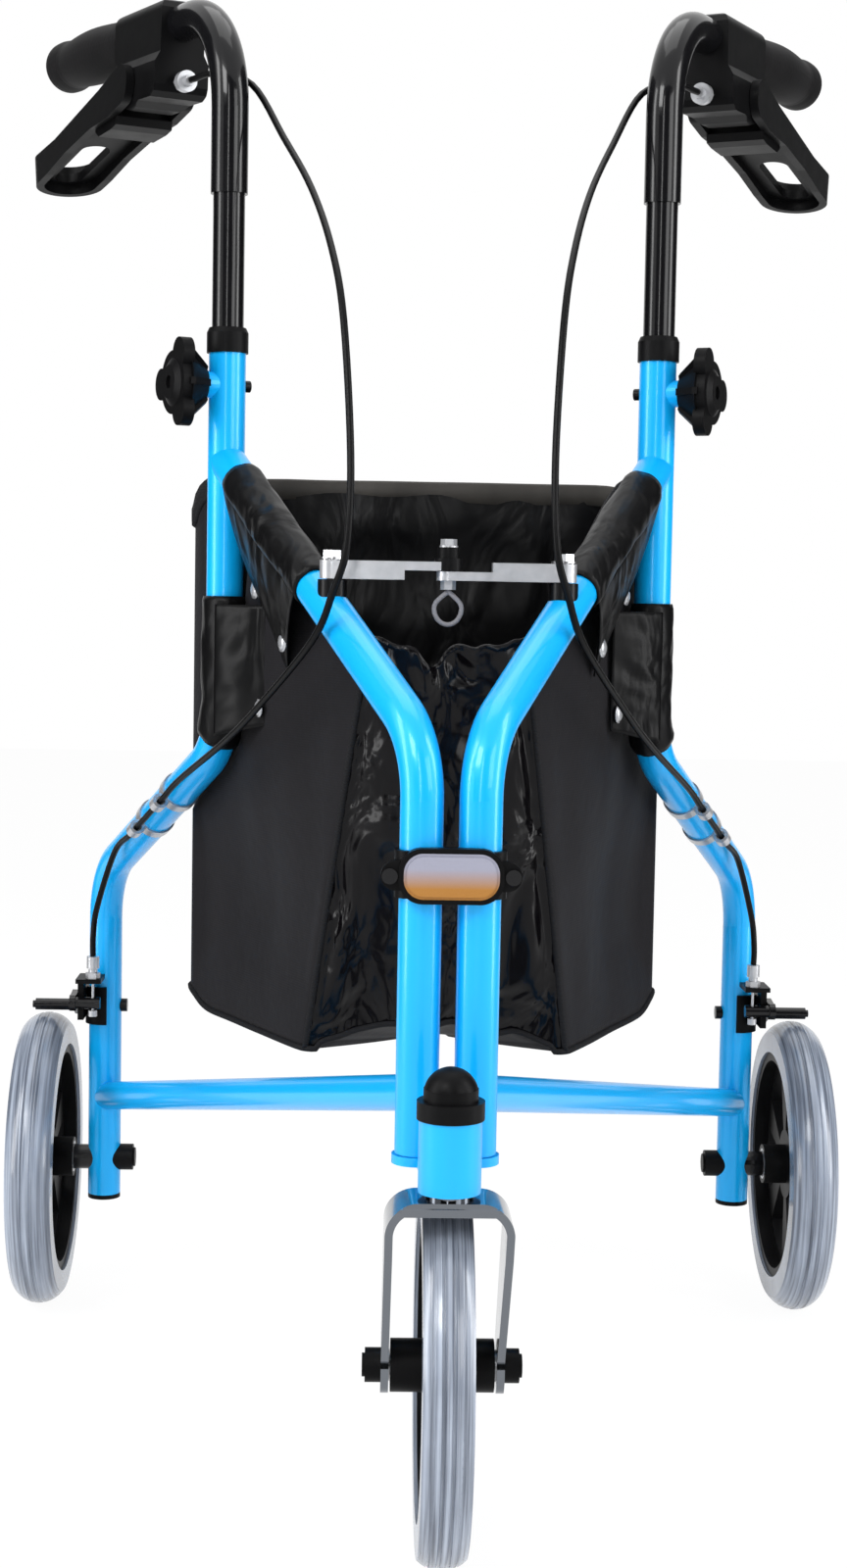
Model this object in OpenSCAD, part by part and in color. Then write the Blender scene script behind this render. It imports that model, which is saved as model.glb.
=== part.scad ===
// Three wheel rollator: a folding walking aid with two bent tube side frames
// that hinge on a caster head, a folding brace, height adjustable brake handles
// and a vinyl tote between the frames. Sizes in millimetres, +Z up, front at -Y.

/* [Frame] */
// Outside diameter of the side frame tubes
tube_d = 22.2; // [21:0.1:24]
// Wall of the side frame tubes
tube_wall = 1.5; // [1.2:0.1:2]
// Outside diameter of the lower rails
rail_d = 19; // [16:0.5:20]
// Half the distance between the two hinge tubes
hinge_half = 15; // [14:0.5:18]
// Angle of each open side frame from straight back
spread = 25.5; // [23:0.5:28]
// Distance from the hinge axis back to the upright
upright_u = 266; // [258:1:274]
// Distance from the hinge axis back to the rear leg
leg_u = 476; // [465:1:490]
// Height of the top of the painted upright
upright_top = 636; // [626:1:646]
// Height of the bottom of the rear leg
leg_bottom = 75; // [70:1:80]
// Height of the bottom of the hinge tubes
front_bottom = 209; // [208:1:214]
// Centreline radius of the frame bends
bend_r = 50; // [45:1:60]
// Slope of the top tube
top_slope = 30; // [27:1:33]
// Height where the top tube's line meets the hinge axis
top_corner_z = 419; // [412:1:426]
// Slope of the rear brace part of the bent rear tube
rear_slope = 26; // [24:1:28]
// Height of the corner below the upright
rear_corner_z = 402; // [398:1:406]
// Height of the lower rail at the hinge tube
rail_front_z = 240; // [234:1:248]
// Height of the lower rail at the rear leg
rail_rear_z = 143; // [138:1:150]

/* [Wheels] */
// Outside diameter of all three wheels
wheel_d = 200; // [194:1:204]
// Width of the rear tyres
tyre_w = 30; // [28:1:32]
// Width of the front tyre
front_tyre_w = 25; // [24:1:28]
// Diameter of the axle bolts
axle_d = 10; // [8:0.5:10]
// Distance from the rear leg out to the wheel's middle
wheel_out = 41; // [40:0.5:46]
// Width of a rear hub
hub_w = 40; // [38:1:41]
// Width of the front hub
front_hub_w = 53; // [50:0.5:53]
// Width of the slot in the lever
slot_w = 20; // [14:1:24]
// Outside diameter of the hubs
hub_d = 27; // [26:0.5:30]
// Outside diameter of the wheel bearings
bearing_d = 21; // [20:0.5:22]
// Windows in each wheel's web
window_n = 6; // [5:1:8]

/* [Caster head] */
// Distance from the hinge axis forward to the caster stem
stem_u = 57; // [55:0.5:62]
// Distance the caster axle trails behind the stem
trail = 50; // [46:1:54]
// Width across the outside of the fork
fork_w = 63; // [62.5:0.5:66]
// Sheet thickness of the fork
fork_t = 4; // [3:0.5:4.5]
// Outside diameter of the headstock
head_d = 31; // [29:0.5:34]
// Length of the headstock
head_h = 36; // [32:1:40]
// Diameter of the caster stem
stem_d = 16; // [14:0.5:17]
// Height of the hinge pins inside the tubes
pin_h = 60; // [40:1:80]
// Height of the middle of the reflector clamp
clamp_z = 353; // [345:1:360]

/* [Handles] */
// Height of the handlebar's lower end above the upright
bar_lift = 94; // [90:1:104]
// Centreline radius of the handlebar bend
bar_r = 65; // [60:1:70]
// Length of the handlebar below its bend
bar_leg = 50; // [44:1:60]
// Rise of the hand grip above level
bar_rise = 4; // [0:0.5:6]
// Length of the hand grip
grip_len = 142; // [125:1:145]
// Diameter of the hand grip
grip_d = 33; // [31:0.5:35]
// Angle between the hand grip and the resting brake lever
lever_drop = 13; // [12:0.5:15]
// Length of the brake lever from its pivot
lever_len = 196; // [185:1:200]
// Distance of the clamp knob below the top of the upright
knob_drop = 19; // [17:1:30]
// Diameter over the lobes of the clamp knob
knob_d = 57; // [50:1:60]
// Depth of the height tube inside the upright
height_in = 130; // [122:1:130]

/* [Brace and tote] */
// Distance from the hinge axis back to the brace pivots
brace_u = 112; // [108:1:116]
// Height of the brace bar
brace_h = 10; // [9:0.5:12]
// Width of the brace bar
brace_w = 14; // [12:0.5:15]
// Diameter of the brace pivot bolts
brace_bolt_d = 6; // [5:0.5:7]
// Height of the tote's floor
tote_z = 228; // [226:1:240]
// Wall of the tote
tote_wall = 2.5; // [2:0.25:3]
// Outside diameter of the tote's tube sleeves
sleeve_d = 27; // [26:0.25:28]

/* [Brake] */
// Diameter of the brake rod over the tyre
rod_d = 8; // [7:0.5:9]
// Free gap between the brake rod and the tyre
rod_gap = 3; // [2:0.25:4]
// Diameter of the brake cable
cable_d = 5; // [4.5:0.1:5.2]

/* [Fits] */
// Radial clearance of turning fits
turn_fit = 0.05; // [0.02:0.01:0.1]
// Radial clearance of the sliding height tube
slide_fit = 0.05; // [0.02:0.01:0.1]
// Clearance between facing parts that move
face_gap = 0.4; // [0.3:0.05:0.6]

/* [Hidden] */
$fn = 48;
wheel_r = wheel_d / 2;
leg_x = hinge_half + leg_u * sin(spread);
leg_y = leg_u * cos(spread);
axle_y = trail - stem_u;

bore_d = tube_d - 2 * tube_wall;
height_d = bore_d - 2 * slide_fit;
// Joint line between the straight and bent lengths of a tube
seam = 0.02;
paint = "DeepSkyBlue";
black = "DimGray";
steel = "Silver";

// Front tube corners
top_turn = 90 - top_slope;
top_t = bend_r * tan(top_turn / 2);
top_bend_z = top_corner_z - top_t;
top_u1 = bend_r * (1 - cos(top_turn));
top_z1 = top_bend_z + bend_r * sin(top_turn);
function top_z(u) = top_corner_z + u * tan(top_slope);

// Rear tube corners
rear_turn = 90 - rear_slope;
rear_t = bend_r * tan(rear_turn / 2);
rear_bend_z = rear_corner_z + rear_t;
function rear_z(u) = rear_corner_z - (u - upright_u) * tan(rear_slope);
rear_u1 = upright_u + bend_r * (1 - cos(rear_turn));
leg_bend_z = rear_z(leg_u) - rear_t;
rear_len = (leg_u - bend_r * (1 - cos(rear_turn)) - rear_u1) / cos(rear_slope);

// Handlebar: start of its straight part
bar_bottom = upright_top + bar_lift;
bar_bend_z = bar_bottom + bar_leg;
knob_z = upright_top - knob_drop;
bar_turn = 90 - bar_rise;
bar_u1 = upright_u + bar_r * (1 - cos(bar_turn));
bar_z1 = bar_bend_z + bar_r * sin(bar_turn);
grip_t = 104;
pivot_t = 66;
pivot_w = -34;
adj_w = -36;
bar_len = grip_t + grip_len - 6;

// Middle of the length, from the front tyre to the ends of the levers
arm_out = 17.8 + face_gap + 5.6;
tip_u = bar_u1 + pivot_t * cos(bar_rise) - pivot_w * sin(bar_rise)
  + (lever_len - arm_out) * cos(lever_drop - bar_rise);
y0 = -(axle_y - wheel_r + tip_u * cos(spread) + arm_out + 1.3) / 2;

// Caster heights
crown_z = wheel_r + 97;
crown_top = crown_z + fork_t;
head_bottom = crown_top + 2.5;
head_top = head_bottom + head_h;
yoke_z = wheel_r + 104;
yoke_t = front_bottom - face_gap - yoke_z;

// Brace heights
boss_top = top_z(brace_u + brace_w / 2) + tube_d / 2 / cos(top_slope) + 0.6;
bar_z = boss_top + face_gap;
bar_top = bar_z + brace_h;
brace_x = hinge_half + brace_u * sin(spread);
brace_y = brace_u * cos(spread);

// Brake unit, measured from the rear leg
rod_z = wheel_r * 2 + rod_gap + rod_d / 2;
arm_y = -18;
arm_z = rod_z + 7;
lug_y = -34;
lug_x = 5;
ear_z = rod_z + 21;
barrel_top = ear_z + 18;
cheek_x = tube_d / 2 + 1;
cheek_t = 4;
arm_t = 4;

// Points in the side frame's own plane: n outboard, u rearward, z up
function frame_u(x, y) = (x - hinge_half) * sin(spread) + y * cos(spread);
function frame_n(x, y) = (x - hinge_half) * cos(spread) - y * sin(spread);
cable_u = frame_u(leg_x + lug_x, leg_y + lug_y);
cable_n = frame_n(leg_x + lug_x, leg_y + lug_y);
start_u = bar_u1 + 1 * cos(bar_rise) - adj_w * sin(bar_rise);
start_z = bar_z1 + 1 * sin(bar_rise) + adj_w * cos(bar_rise);

// Brake cable route from the handle to the brake, by eye from the photograph
function run_u(k) = upright_u + k * (leg_u - upright_u);
route = [
  [0, start_u, start_z], [-0.4, start_u - 5, start_z - 0.3], [-6, start_u - 22, start_z],
  [-18, upright_u + 10, bar_bend_z + 18], [-21, upright_u - 32, bar_bend_z - 20],
  [-14, brace_u + 66, bar_bend_z - 58], [-5, brace_u + 18, bar_bend_z - 98], [2, brace_u - 14, bar_top + 128],
  [8, brace_u - 38, bar_top + 56], [13, brace_u - 46, bar_top + 8], [16, brace_u - 36, bar_top - 17],
  [17, brace_u - 12, top_z(brace_u) - 16], [17, upright_u - 92, rear_corner_z + 26],
  [17, upright_u - 44, rear_corner_z + 4],
  for (k = [0.16, 0.3, 0.44, 0.58, 0.72]) [15, run_u(k), rear_z(run_u(k)) - 8],
  [cable_n - 2, cable_u - 2, barrel_top + 34], [cable_n, cable_u, barrel_top + 14],
  [cable_n, cable_u, barrel_top + 0.3]];
steps = 4;
sides = 10;

// Catmull-Rom curve through the route points
last = len(route) - 1;
function pt(i) = route[max(0, min(last, i))];
function curve(i, t) = 0.5 * (2 * pt(i) + (pt(i + 1) - pt(i - 1)) * t
  + (2 * pt(i - 1) - 5 * pt(i) + 4 * pt(i + 1) - pt(i + 2)) * t * t
  + (3 * pt(i) - pt(i - 1) - 3 * pt(i + 1) + pt(i + 2)) * t * t * t);
line = concat([for (i = [0 : last - 1]) for (k = [0 : steps - 1]) curve(i, k / steps)], [pt(last)]);
rings = len(line);
function unit(v) = v / norm(v);
function dir(i) = unit(line[min(rings - 1, i + 1)] - line[max(0, i - 1)]);
function side_a(i) = unit(cross(dir(i), [1, 0, 0]));
function side_b(i) = cross(dir(i), side_a(i));
function ring(i, r) = [for (k = [0 : sides - 1])
  line[i] + r * (cos(360 * k / sides) * side_a(i) + sin(360 * k / sides) * side_b(i))];

// The side frame's plane, and mirrored left copies
module in_plane() translate([hinge_half, 0, 0]) rotate([0, 0, -spread]) children();
module at_leg() translate([leg_x, leg_y, 0]) children();
module on_bar() translate([0, bar_u1, bar_z1]) rotate([bar_rise, 0, 0]) children();
module left() mirror([1, 0, 0]) children();

// A tube of outside d and bore b along Z
module pipe(d, b, len) difference() {
  cylinder(d = d, h = len);
  if (b > 0) translate([0, 0, -1]) cylinder(d = b, h = len + 2);
}
// A straight tube in the frame's plane from (u, z), rising at a slope
module rod(u, z, slope, d, b, len) {
  translate([0, u, z]) rotate([slope - 90, 0, 0]) translate([0, 0, seam]) pipe(d, b, len - 2 * seam);
}
// A bent tube in the frame's plane about (u, z), from one angle through another
module bend(u, z, r, from, turn, d, b) {
  translate([0, u, z]) rotate(a = 120, v = [1, 1, 1]) rotate([0, 0, from])
    rotate_extrude(angle = turn) translate([r, 0]) difference() {
      circle(d = d);
      if (b > 0) circle(d = b);
    }
}
// A rod along X at a height, from x1 to x2
module xrod(x1, x2, y, z, d) {
  translate([x1, y, z]) rotate([0, 90, 0]) cylinder(d = d, h = x2 - x1);
}

// Frame tubes: each is one bent tube, made of its straight and bent lengths
module front_run(d, b) {
  translate([0, 0, front_bottom]) pipe(d, b, top_bend_z - front_bottom - seam);
  bend(bend_r, top_bend_z, bend_r, 180 - top_turn, top_turn, d, b);
}
module top_run(d, b) rod(top_u1, top_z1, top_slope, d, b, (upright_u - top_u1) / cos(top_slope));
module front_tube() in_plane() {
  front_run(tube_d, bore_d);
  difference() {
    top_run(tube_d, bore_d);
    translate([0, upright_u, 400]) cylinder(d = tube_d + 0.2, h = 300);
    translate([-50, upright_u - 3, 400]) cube([100, 60, 300]);
  }
}
module upright_run(d, b) translate([0, upright_u, rear_bend_z + seam])
  pipe(d, b, upright_top - rear_bend_z - seam);
module leg_run(d, b) translate([0, leg_u, leg_bottom]) pipe(d, b, leg_bend_z - leg_bottom - seam);
module rear_run(d, b) {
  bend(upright_u + bend_r, rear_bend_z, bend_r, 180, rear_turn, d, b);
  rod(rear_u1, rear_bend_z - bend_r * sin(rear_turn), -rear_slope, d, b, rear_len);
  bend(leg_u - bend_r, leg_bend_z, bend_r, 0, rear_turn, d, b);
}
module rear_tube() {
  in_plane() {
    rear_run(tube_d, bore_d);
    difference() {
      union() {
        upright_run(tube_d, 0);
        translate([0, upright_u, knob_z]) rotate([0, 90, 0]) cylinder(d = 16, h = 15);
      }
      translate([0, upright_u, rear_bend_z - 1]) cylinder(d = bore_d, h = upright_top);
      translate([0, upright_u, knob_z]) rotate([0, 90, 0]) cylinder(d = 8 + 2 * turn_fit, h = 20);
    }
  }
  difference() {
    in_plane() leg_run(tube_d, bore_d);
    at_leg() xrod(-30, 30, 0, wheel_r, axle_d);
    at_leg() xrod(-30, 30, 0, rod_z, 5);
  }
}
module rail() in_plane() difference() {
  rail_run(rail_d, rail_d - 3);
  translate([0, 0, 150]) cylinder(d = tube_d, h = 150);
  translate([0, leg_u, 80]) cylinder(d = tube_d, h = 150);
}
module rail_run(d, b) {
  slope = atan((rail_rear_z - rail_front_z) / leg_u);
  rod(0, rail_front_z, slope, d, b, leg_u / cos(slope));
}

// Plastic collar on the upright, plug under the leg and cap inside the axle
module caps() {
  in_plane() translate([0, upright_u, upright_top]) difference() {
    union() {
      cylinder(d = tube_d + 2.8, h = 12);
      translate([0, 0, 12]) cylinder(d1 = tube_d + 2.8, d2 = tube_d, h = 3);
    }
    translate([0, 0, -1]) cylinder(d = height_d + 2 * slide_fit, h = 20);
  }
  at_leg() translate([0, 0, leg_bottom - 3]) {
    cylinder(d = tube_d, h = 3);
    cylinder(d = bore_d, h = 14);
  }
  at_leg() difference() {
    union() {
      xrod(-20, 0, 0, wheel_r, 18);
      xrod(-21.5, -19, 0, wheel_r, 13);
    }
    translate([0, 0, 50]) cylinder(d = tube_d, h = 100);
    xrod(-17, 1, 0, wheel_r, axle_d);
  }
}

// Wheels, turning about X at the origin
module tyre_shape(tw) rotate([0, 90, 0]) rotate_extrude() difference() {
  intersection() {
    translate([wheel_r - 18, 0]) circle(r = 18);
    translate([wheel_r - 22, -tw / 2]) square([40, tw]);
  }
  translate([wheel_r - 40, 4 - tw / 2]) square([22, tw - 8]);
  for (k = [-1.5 : 1 : 1.5])
    translate([wheel_r - 0.1 - 0.9 * abs(k) * abs(k) / 2, k * tw / 5]) circle(r = 1.1);
}
module rim_shape(w, tw) rotate([0, 90, 0]) difference() {
  union() {
    rotate_extrude() translate([wheel_r - 28, 2 - tw / 2]) square([10, tw - 4]);
    rotate_extrude() translate([10, -4]) square([wheel_r - 36, 8]);
    rotate_extrude() translate([bearing_d / 2, -w / 2]) square([hub_d / 2 - bearing_d / 2, w]);
    rotate_extrude() translate([axle_d / 2 + 1, -w / 2 + 6]) square([hub_d / 2 - axle_d / 2 - 2, w - 12]);
  }
  rotate_extrude() translate([wheel_r - 22, -20]) square([9, 24 - tw / 2]);
  rotate_extrude() translate([wheel_r - 22, tw / 2 - 4]) square([9, 9]);
  for (k = [0 : window_n - 1]) rotate([0, 0, k * 360 / window_n])
    rotate_extrude(angle = 240 / window_n) translate([24, -10]) square([wheel_r - 58, 20]);
  translate([0, 0, -w]) cylinder(d = axle_d + 2, h = 2 * w);
}
module bearing_shape(w) for (s = [-1, 1]) rotate([0, 90, 0]) translate([0, 0, s * (w / 2 - 3) - 3])
  difference() {
    cylinder(d = bearing_d, h = 6);
    translate([0, 0, -1]) cylinder(d = axle_d + 2 * turn_fit, h = 8);
    for (e = [-1, 5.2]) translate([0, 0, e]) rotate_extrude()
      translate([axle_d / 2 + 1.5, 0]) square([bearing_d / 2 - axle_d / 2 - 3, 1.8]);
  }
module at_wheel() at_leg() translate([wheel_out, 0, wheel_r]) children();
module at_front_wheel() translate([0, axle_y, wheel_r]) children();

// Rear axle bolt with its spacer and outer nut
module axle() at_leg() {
  xrod(-17, wheel_out + hub_w / 2 + 7, 0, wheel_r, axle_d);
  difference() {
    xrod(0, wheel_out - hub_w / 2 - face_gap, 0, wheel_r, 17);
    translate([0, 0, 50]) cylinder(d = tube_d, h = 100);
  }
  translate([wheel_out + hub_w / 2 + face_gap, 0, wheel_r]) rotate([0, 90, 0]) {
    cylinder(d = 17, h = 1.5);
    cylinder(d = 16, h = 6, $fn = 6);
  }
}

// Brake: bracket bolted to the leg, rocking arm and its rod over the tyre
module brake_bracket() at_leg() difference() {
  union() {
    translate([0, 0, rod_z - 12]) cylinder(d = tube_d + 5, h = 26);
    translate([cheek_x, arm_y - 9, rod_z - 6]) cube([cheek_t, 34, 20]);
    translate([cheek_x, arm_y - 9, rod_z + 8]) cube([cheek_t, 14, ear_z - rod_z - 5]);
    translate([lug_x - 6, lug_y - 6, ear_z]) cube([cheek_x + cheek_t - lug_x + 6, 25, 3]);
  }
  translate([0, 0, rod_z - 30]) cylinder(d = tube_d, h = 80);
  translate([-32, -30, rod_z - 30]) cube([30, 60, 90]);
  xrod(0, 14.2, 0, rod_z, 5);
  xrod(0, 40, arm_y, arm_z, 6 + 2 * turn_fit);
  translate([lug_x, lug_y, ear_z - 10]) cylinder(d = 6, h = 30);
}
module brake_arm() at_leg() {
  x1 = cheek_x + cheek_t + face_gap;
  difference() {
    translate([x1, 0, 0]) rotate([90, 0, 90]) linear_extrude(arm_t) {
      translate([arm_y, arm_z]) circle(d = 13);
      translate([0, rod_z]) circle(d = 13);
      translate([lug_y, arm_z]) circle(d = 11);
      polygon([[arm_y - 2, arm_z + 6.2], [2.4, rod_z + 6], [-2.4, rod_z - 6], [arm_y - 2, arm_z - 6.2]]);
      polygon([[arm_y, arm_z + 6.5], [lug_y, arm_z + 4.5], [lug_y, arm_z - 4.5], [arm_y, arm_z - 6.5]]);
    }
    xrod(0, 60, 0, rod_z, 3);
  }
  xrod(cheek_x - 1, x1 + 1, arm_y, arm_z, 6);
  difference() {
    xrod(x1 + 1, wheel_out + 7, 0, rod_z, rod_d);
    xrod(x1, x1 + 2, 0, rod_z, 3);
  }
  xrod(wheel_out + 7, wheel_out + 9, 0, rod_z, rod_d - 3);
  difference() {
    xrod(lug_x - 5, x1 + 1, lug_y, arm_z, 8);
    translate([lug_x, lug_y, arm_z - 10]) cylinder(d = 4, h = 20);
  }
}

// Brake cable, its barrel on the bracket and its clips on the rear tube
module cable() in_plane() {
  pts = [for (i = [0 : rings - 1]) each ring(i, cable_d / 2)];
  walls = [for (i = [0 : rings - 2]) for (k = [0 : sides - 1])
    let (a = i * sides + k, b = i * sides + (k + 1) % sides)
    each [[a, b, a + sides], [b, b + sides, a + sides]]];
  ends = [[for (k = [sides - 1 : -1 : 0]) k], [for (k = [0 : sides - 1]) (rings - 1) * sides + k]];
  polyhedron(pts, concat(walls, ends));
}
module cable_fittings() {
  at_leg() translate([lug_x, lug_y, ear_z]) difference() {
    union() {
      cylinder(d = 6, h = 18);
      translate([0, 0, 3]) cylinder(d = 10, h = 4, $fn = 6);
      translate([0, 0, 10]) cylinder(d = 8.5, h = 8);
    }
    translate([0, 0, -1]) cylinder(d = 1.8, h = 17);
  }
  at_leg() translate([lug_x, lug_y, arm_z - 9]) {
    cylinder(d = 1.8, h = ear_z + 16 - arm_z + 9);
    cylinder(d = 6, h = 4);
  }
  in_plane() for (u = [run_u(0.33), run_u(0.53)]) translate([0, u, rear_z(u)]) rotate([-rear_slope - 90, 0, 0])
    difference() {
      union() {
        cylinder(d = tube_d + 2.4, h = 8);
        translate([15, 8 * cos(rear_slope), 0]) cylinder(d = cable_d + 5, h = 8);
      }
      translate([0, 0, -1]) cylinder(d = tube_d, h = 10);
      translate([15, 8 * cos(rear_slope), -1]) cylinder(d = cable_d + 1, h = 10);
    }
}

// Vinyl sleeves that carry the tote on the top tube and the upright
module sleeves() in_plane() {
  rod(brace_u + 22, top_z(brace_u + 22), top_slope, sleeve_d, tube_d,
    (upright_u - 35 - brace_u - 22) / cos(top_slope));
  translate([0, upright_u, rear_bend_z + seam]) pipe(sleeve_d, tube_d, 58);
  bend(upright_u + bend_r, rear_bend_z, bend_r, 180, 30, sleeve_d, tube_d);
}

// Brace boss and bolt on the top tube, guide screw on the upright, screw of the brake bracket
module bolts() {
  in_plane() {
    difference() {
      translate([0, brace_u, top_z(brace_u)]) cylinder(d = 16, h = boss_top - top_z(brace_u));
      top_run(tube_d, 0);
    }
    translate([0, brace_u, boss_top - 2]) cylinder(d = brace_bolt_d, h = bar_top + 4 - boss_top);
    translate([0, brace_u, bar_top + face_gap]) {
      cylinder(d = 2 * brace_bolt_d + 2, h = 1.2);
      cylinder(d = 2 * brace_bolt_d - 1, h = 5, $fn = 6);
    }
    difference() {
      translate([-14.5, upright_u, knob_z]) rotate([0, 90, 0]) cylinder(d = 7, h = 10);
      translate([0, upright_u, knob_z - 20]) cylinder(d = tube_d, h = 40);
    }
  }
  at_leg() {
    xrod(-tube_d / 2 - 1, 14, 0, rod_z, 5);
    difference() {
      xrod(-tube_d / 2 - 4, 0, 0, rod_z, 9);
      translate([0, 0, rod_z - 30]) cylinder(d = tube_d, h = 60);
    }
  }
}

// Handle: inner height tube, bent handlebar, grip, brake housing and cable adjuster
module height_tube() in_plane() translate([0, upright_u, upright_top - height_in]) difference() {
  cylinder(d = height_d, h = bar_bottom + 32 - upright_top + height_in);
  translate([0, 0, -1]) cylinder(d = height_d - 3, h = 500);
}
module handlebar() in_plane() {
  translate([0, upright_u, bar_bottom]) pipe(tube_d, height_d, bar_bend_z - bar_bottom - seam);
  bend(upright_u + bar_r, bar_bend_z, bar_r, 180 - bar_turn, bar_turn, tube_d, height_d);
  rod(bar_u1, bar_z1, bar_rise, tube_d, height_d, bar_len);
}
module grip() in_plane() on_bar() translate([0, grip_t, 0]) rotate([-90, 0, 0]) difference() {
  rotate_extrude() polygon(concat([[0, 0]], [for (k = [0 : 24]) grip_pt(k / 24)], [[0, grip_len]]));
  translate([0, 0, -1]) cylinder(d = tube_d, h = grip_len - 5);
}
function grip_pt(t) = [grip_d / 2 - 1.5 * cos(360 * t) + (t < 0.06 ? -12 * (0.06 - t) : 0)
  + (t > 0.82 ? 2.4 * sin(90 * (t - 0.82) / 0.12) : 0) - (t > 0.96 ? 60 * (t - 0.96) : 0), grip_len * t];
module brake_housing() in_plane() on_bar() difference() {
  intersection() {
    translate([-17.8, 0, 0]) rotate([90, 0, 90]) linear_extrude(35.6)
      polygon([[18, 9], [21, 13], [28, 15], [94, 15], [grip_t - 0.5, 13], [grip_t - 0.5, -14], [94, -24],
        [88, -38], [80, -46], [70, -49], [58, -48], [48, -45], [26, -45], [20, -42], [18, -38]]);
    translate([0, grip_t, 0]) rotate([90, 0, 0]) linear_extrude(grip_t) {
      translate([-14.5, -30]) square([29, 37]);
      translate([-6.5, -30]) square([13, 45]);
      for (s = [-1, 1]) translate([s * 6.5, 7]) circle(r = 8);
      polygon([[-17.8, -43], [17.8, -43], [17.8, -24], [14.5, -18], [-14.5, -18], [-17.8, -24]]);
      translate([-11.8, -49]) square([23.6, 10]);
      for (s = [-1, 1]) translate([s * 11.8, -43]) circle(r = 6);
    }
  }
  rotate([-90, 0, 0]) cylinder(d = tube_d, h = 200);
  xrod(-30, 30, pivot_t, pivot_w, 7 + 2 * turn_fit);
}
module adjuster() in_plane() on_bar() translate([0, 1.5, adj_w]) rotate([-90, 0, 0]) {
  difference() {
    union() {
      cylinder(d = 7, h = 16.5);
      translate([0, 0, 6]) cylinder(d = 13, h = 6, $fn = 24);
      translate([0, 0, 12]) cylinder(d = 11, h = 4.5, $fn = 6);
    }
    translate([0, 0, -1]) cylinder(d = 2.6, h = 8);
  }
}

// Loop brake lever on its pivot pin
module lever() in_plane() on_bar() translate([0, pivot_t, pivot_w]) rotate([-lever_drop, 0, 0]) {
  arm_in = 17.8 + face_gap;
  arm_out = arm_in + 5.6;
  bow = lever_len - arm_out;
  for (s = [0, 1]) mirror([s, 0, 0]) translate([arm_in, 0, 0]) rotate([90, 0, 90])
    linear_extrude(arm_out - arm_in) {
    circle(d = 25);
    polygon([[0, 12.5], [40, 10], [bow - 40, 8], [bow, 10], [bow, -10], [bow - 20, -10],
      [bow - 60, -8], [60, -9], [24, -13], [0, -12.5]]);
  }
  translate([0, bow, 0]) rotate_extrude(angle = 180) translate([arm_in, -10]) square([arm_out - arm_in, 20]);
  translate([-arm_in - 1, 0, 0]) rotate([90, 0, 90]) linear_extrude(2 * arm_in + 2)
    polygon([[26, -2], [58, -2], [62, -10], [56, -15], [32, -18], [22, -18], [20, -13]]);
  translate([0, 0, -3]) linear_extrude(6) difference() {
    union() {
      translate([-arm_in - 1, 30]) square([2 * arm_in + 2, bow - 30]);
      translate([0, bow]) circle(r = arm_in + 1);
    }
    translate([-slot_w / 2, bow - 56]) square([slot_w, 58]);
    for (y = [bow - 56, bow + 2]) translate([0, y]) circle(d = slot_w);
  }
  xrod(-arm_in - 1, arm_in + 1, 0, 0, 7);
}

// Three lobed clamp knob and its screw
module knob() in_plane() translate([0, upright_u, knob_z]) rotate([0, 90, 0]) difference() {
  union() {
    translate([0, 0, tube_d / 2 - tube_wall + 0.6]) cylinder(d = 8, h = 10);
    translate([0, 0, 15 + face_gap]) cylinder(d1 = 21, d2 = 42, h = 14);
    for (k = [0 : 5]) rotate([0, 0, k * 60 + 30]) translate([0, 2, 0]) rotate([90, 0, 0]) linear_extrude(4)
      polygon([[7, 15 + face_gap], [12.5, 15 + face_gap], [k % 2 == 1 ? knob_d / 2 - 4 : 20.5, 28],
        [k % 2 == 1 ? knob_d / 2 - 4 : 20.5, 31], [7, 31]]);
    translate([0, 0, 28]) linear_extrude(7) union() {
      circle(d = knob_d * 0.66);
      for (k = [0 : 2]) rotate(k * 120 + 90) translate([knob_d / 2 - 9.5, 0]) circle(r = 9.5);
    }
    translate([0, 0, 34.5]) cylinder(d1 = 30, d2 = 20, h = 3);
  }
  for (k = [0 : 2]) rotate([0, 0, k * 120 + 30]) translate([knob_d * 0.68, 0, 20])
    cylinder(r = knob_d * 0.32, h = 40);
  translate([0, 0, 35.5]) cylinder(d = 8, h = 10);
}

// Folding brace between the top tubes
lap = 24;
tongue_w = 13;
tongue_h = (brace_h - face_gap) / 2;
module brace_bar(z) difference() {
  union() {
    translate([0, -brace_w / 2, 0]) cube([brace_x - lap, brace_w, brace_h]);
    cylinder(d = brace_w, h = brace_h);
    translate([brace_x - lap - 1, -tongue_w / 2, z]) cube([lap + 1, tongue_w, tongue_h]);
    translate([brace_x, 0, z]) cylinder(d = tongue_w, h = tongue_h);
  }
  translate([9, -brace_w / 2 + 1.8, -1]) cube([brace_x - lap - 15, brace_w - 3.6, brace_h - 1]);
  translate([0, 0, -1]) cylinder(d = brace_bolt_d + 2 * turn_fit, h = brace_h + 2);
}
module left_brace() color(steel) shift() translate([-brace_x, brace_y, bar_z]) {
  brace_bar(brace_h - tongue_h);
  translate([brace_x, 0, brace_h + 8]) {
    cylinder(d = 10, h = 1);
    cylinder(d = 9, h = 4.5, $fn = 6);
  }
}
module right_brace() color(steel) shift() translate([brace_x, brace_y, bar_z]) rotate([0, 0, 180]) {
  brace_bar(0);
  translate([brace_x, 0, -5]) cylinder(d = 8.5, h = 5, $fn = 6);
}
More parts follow.
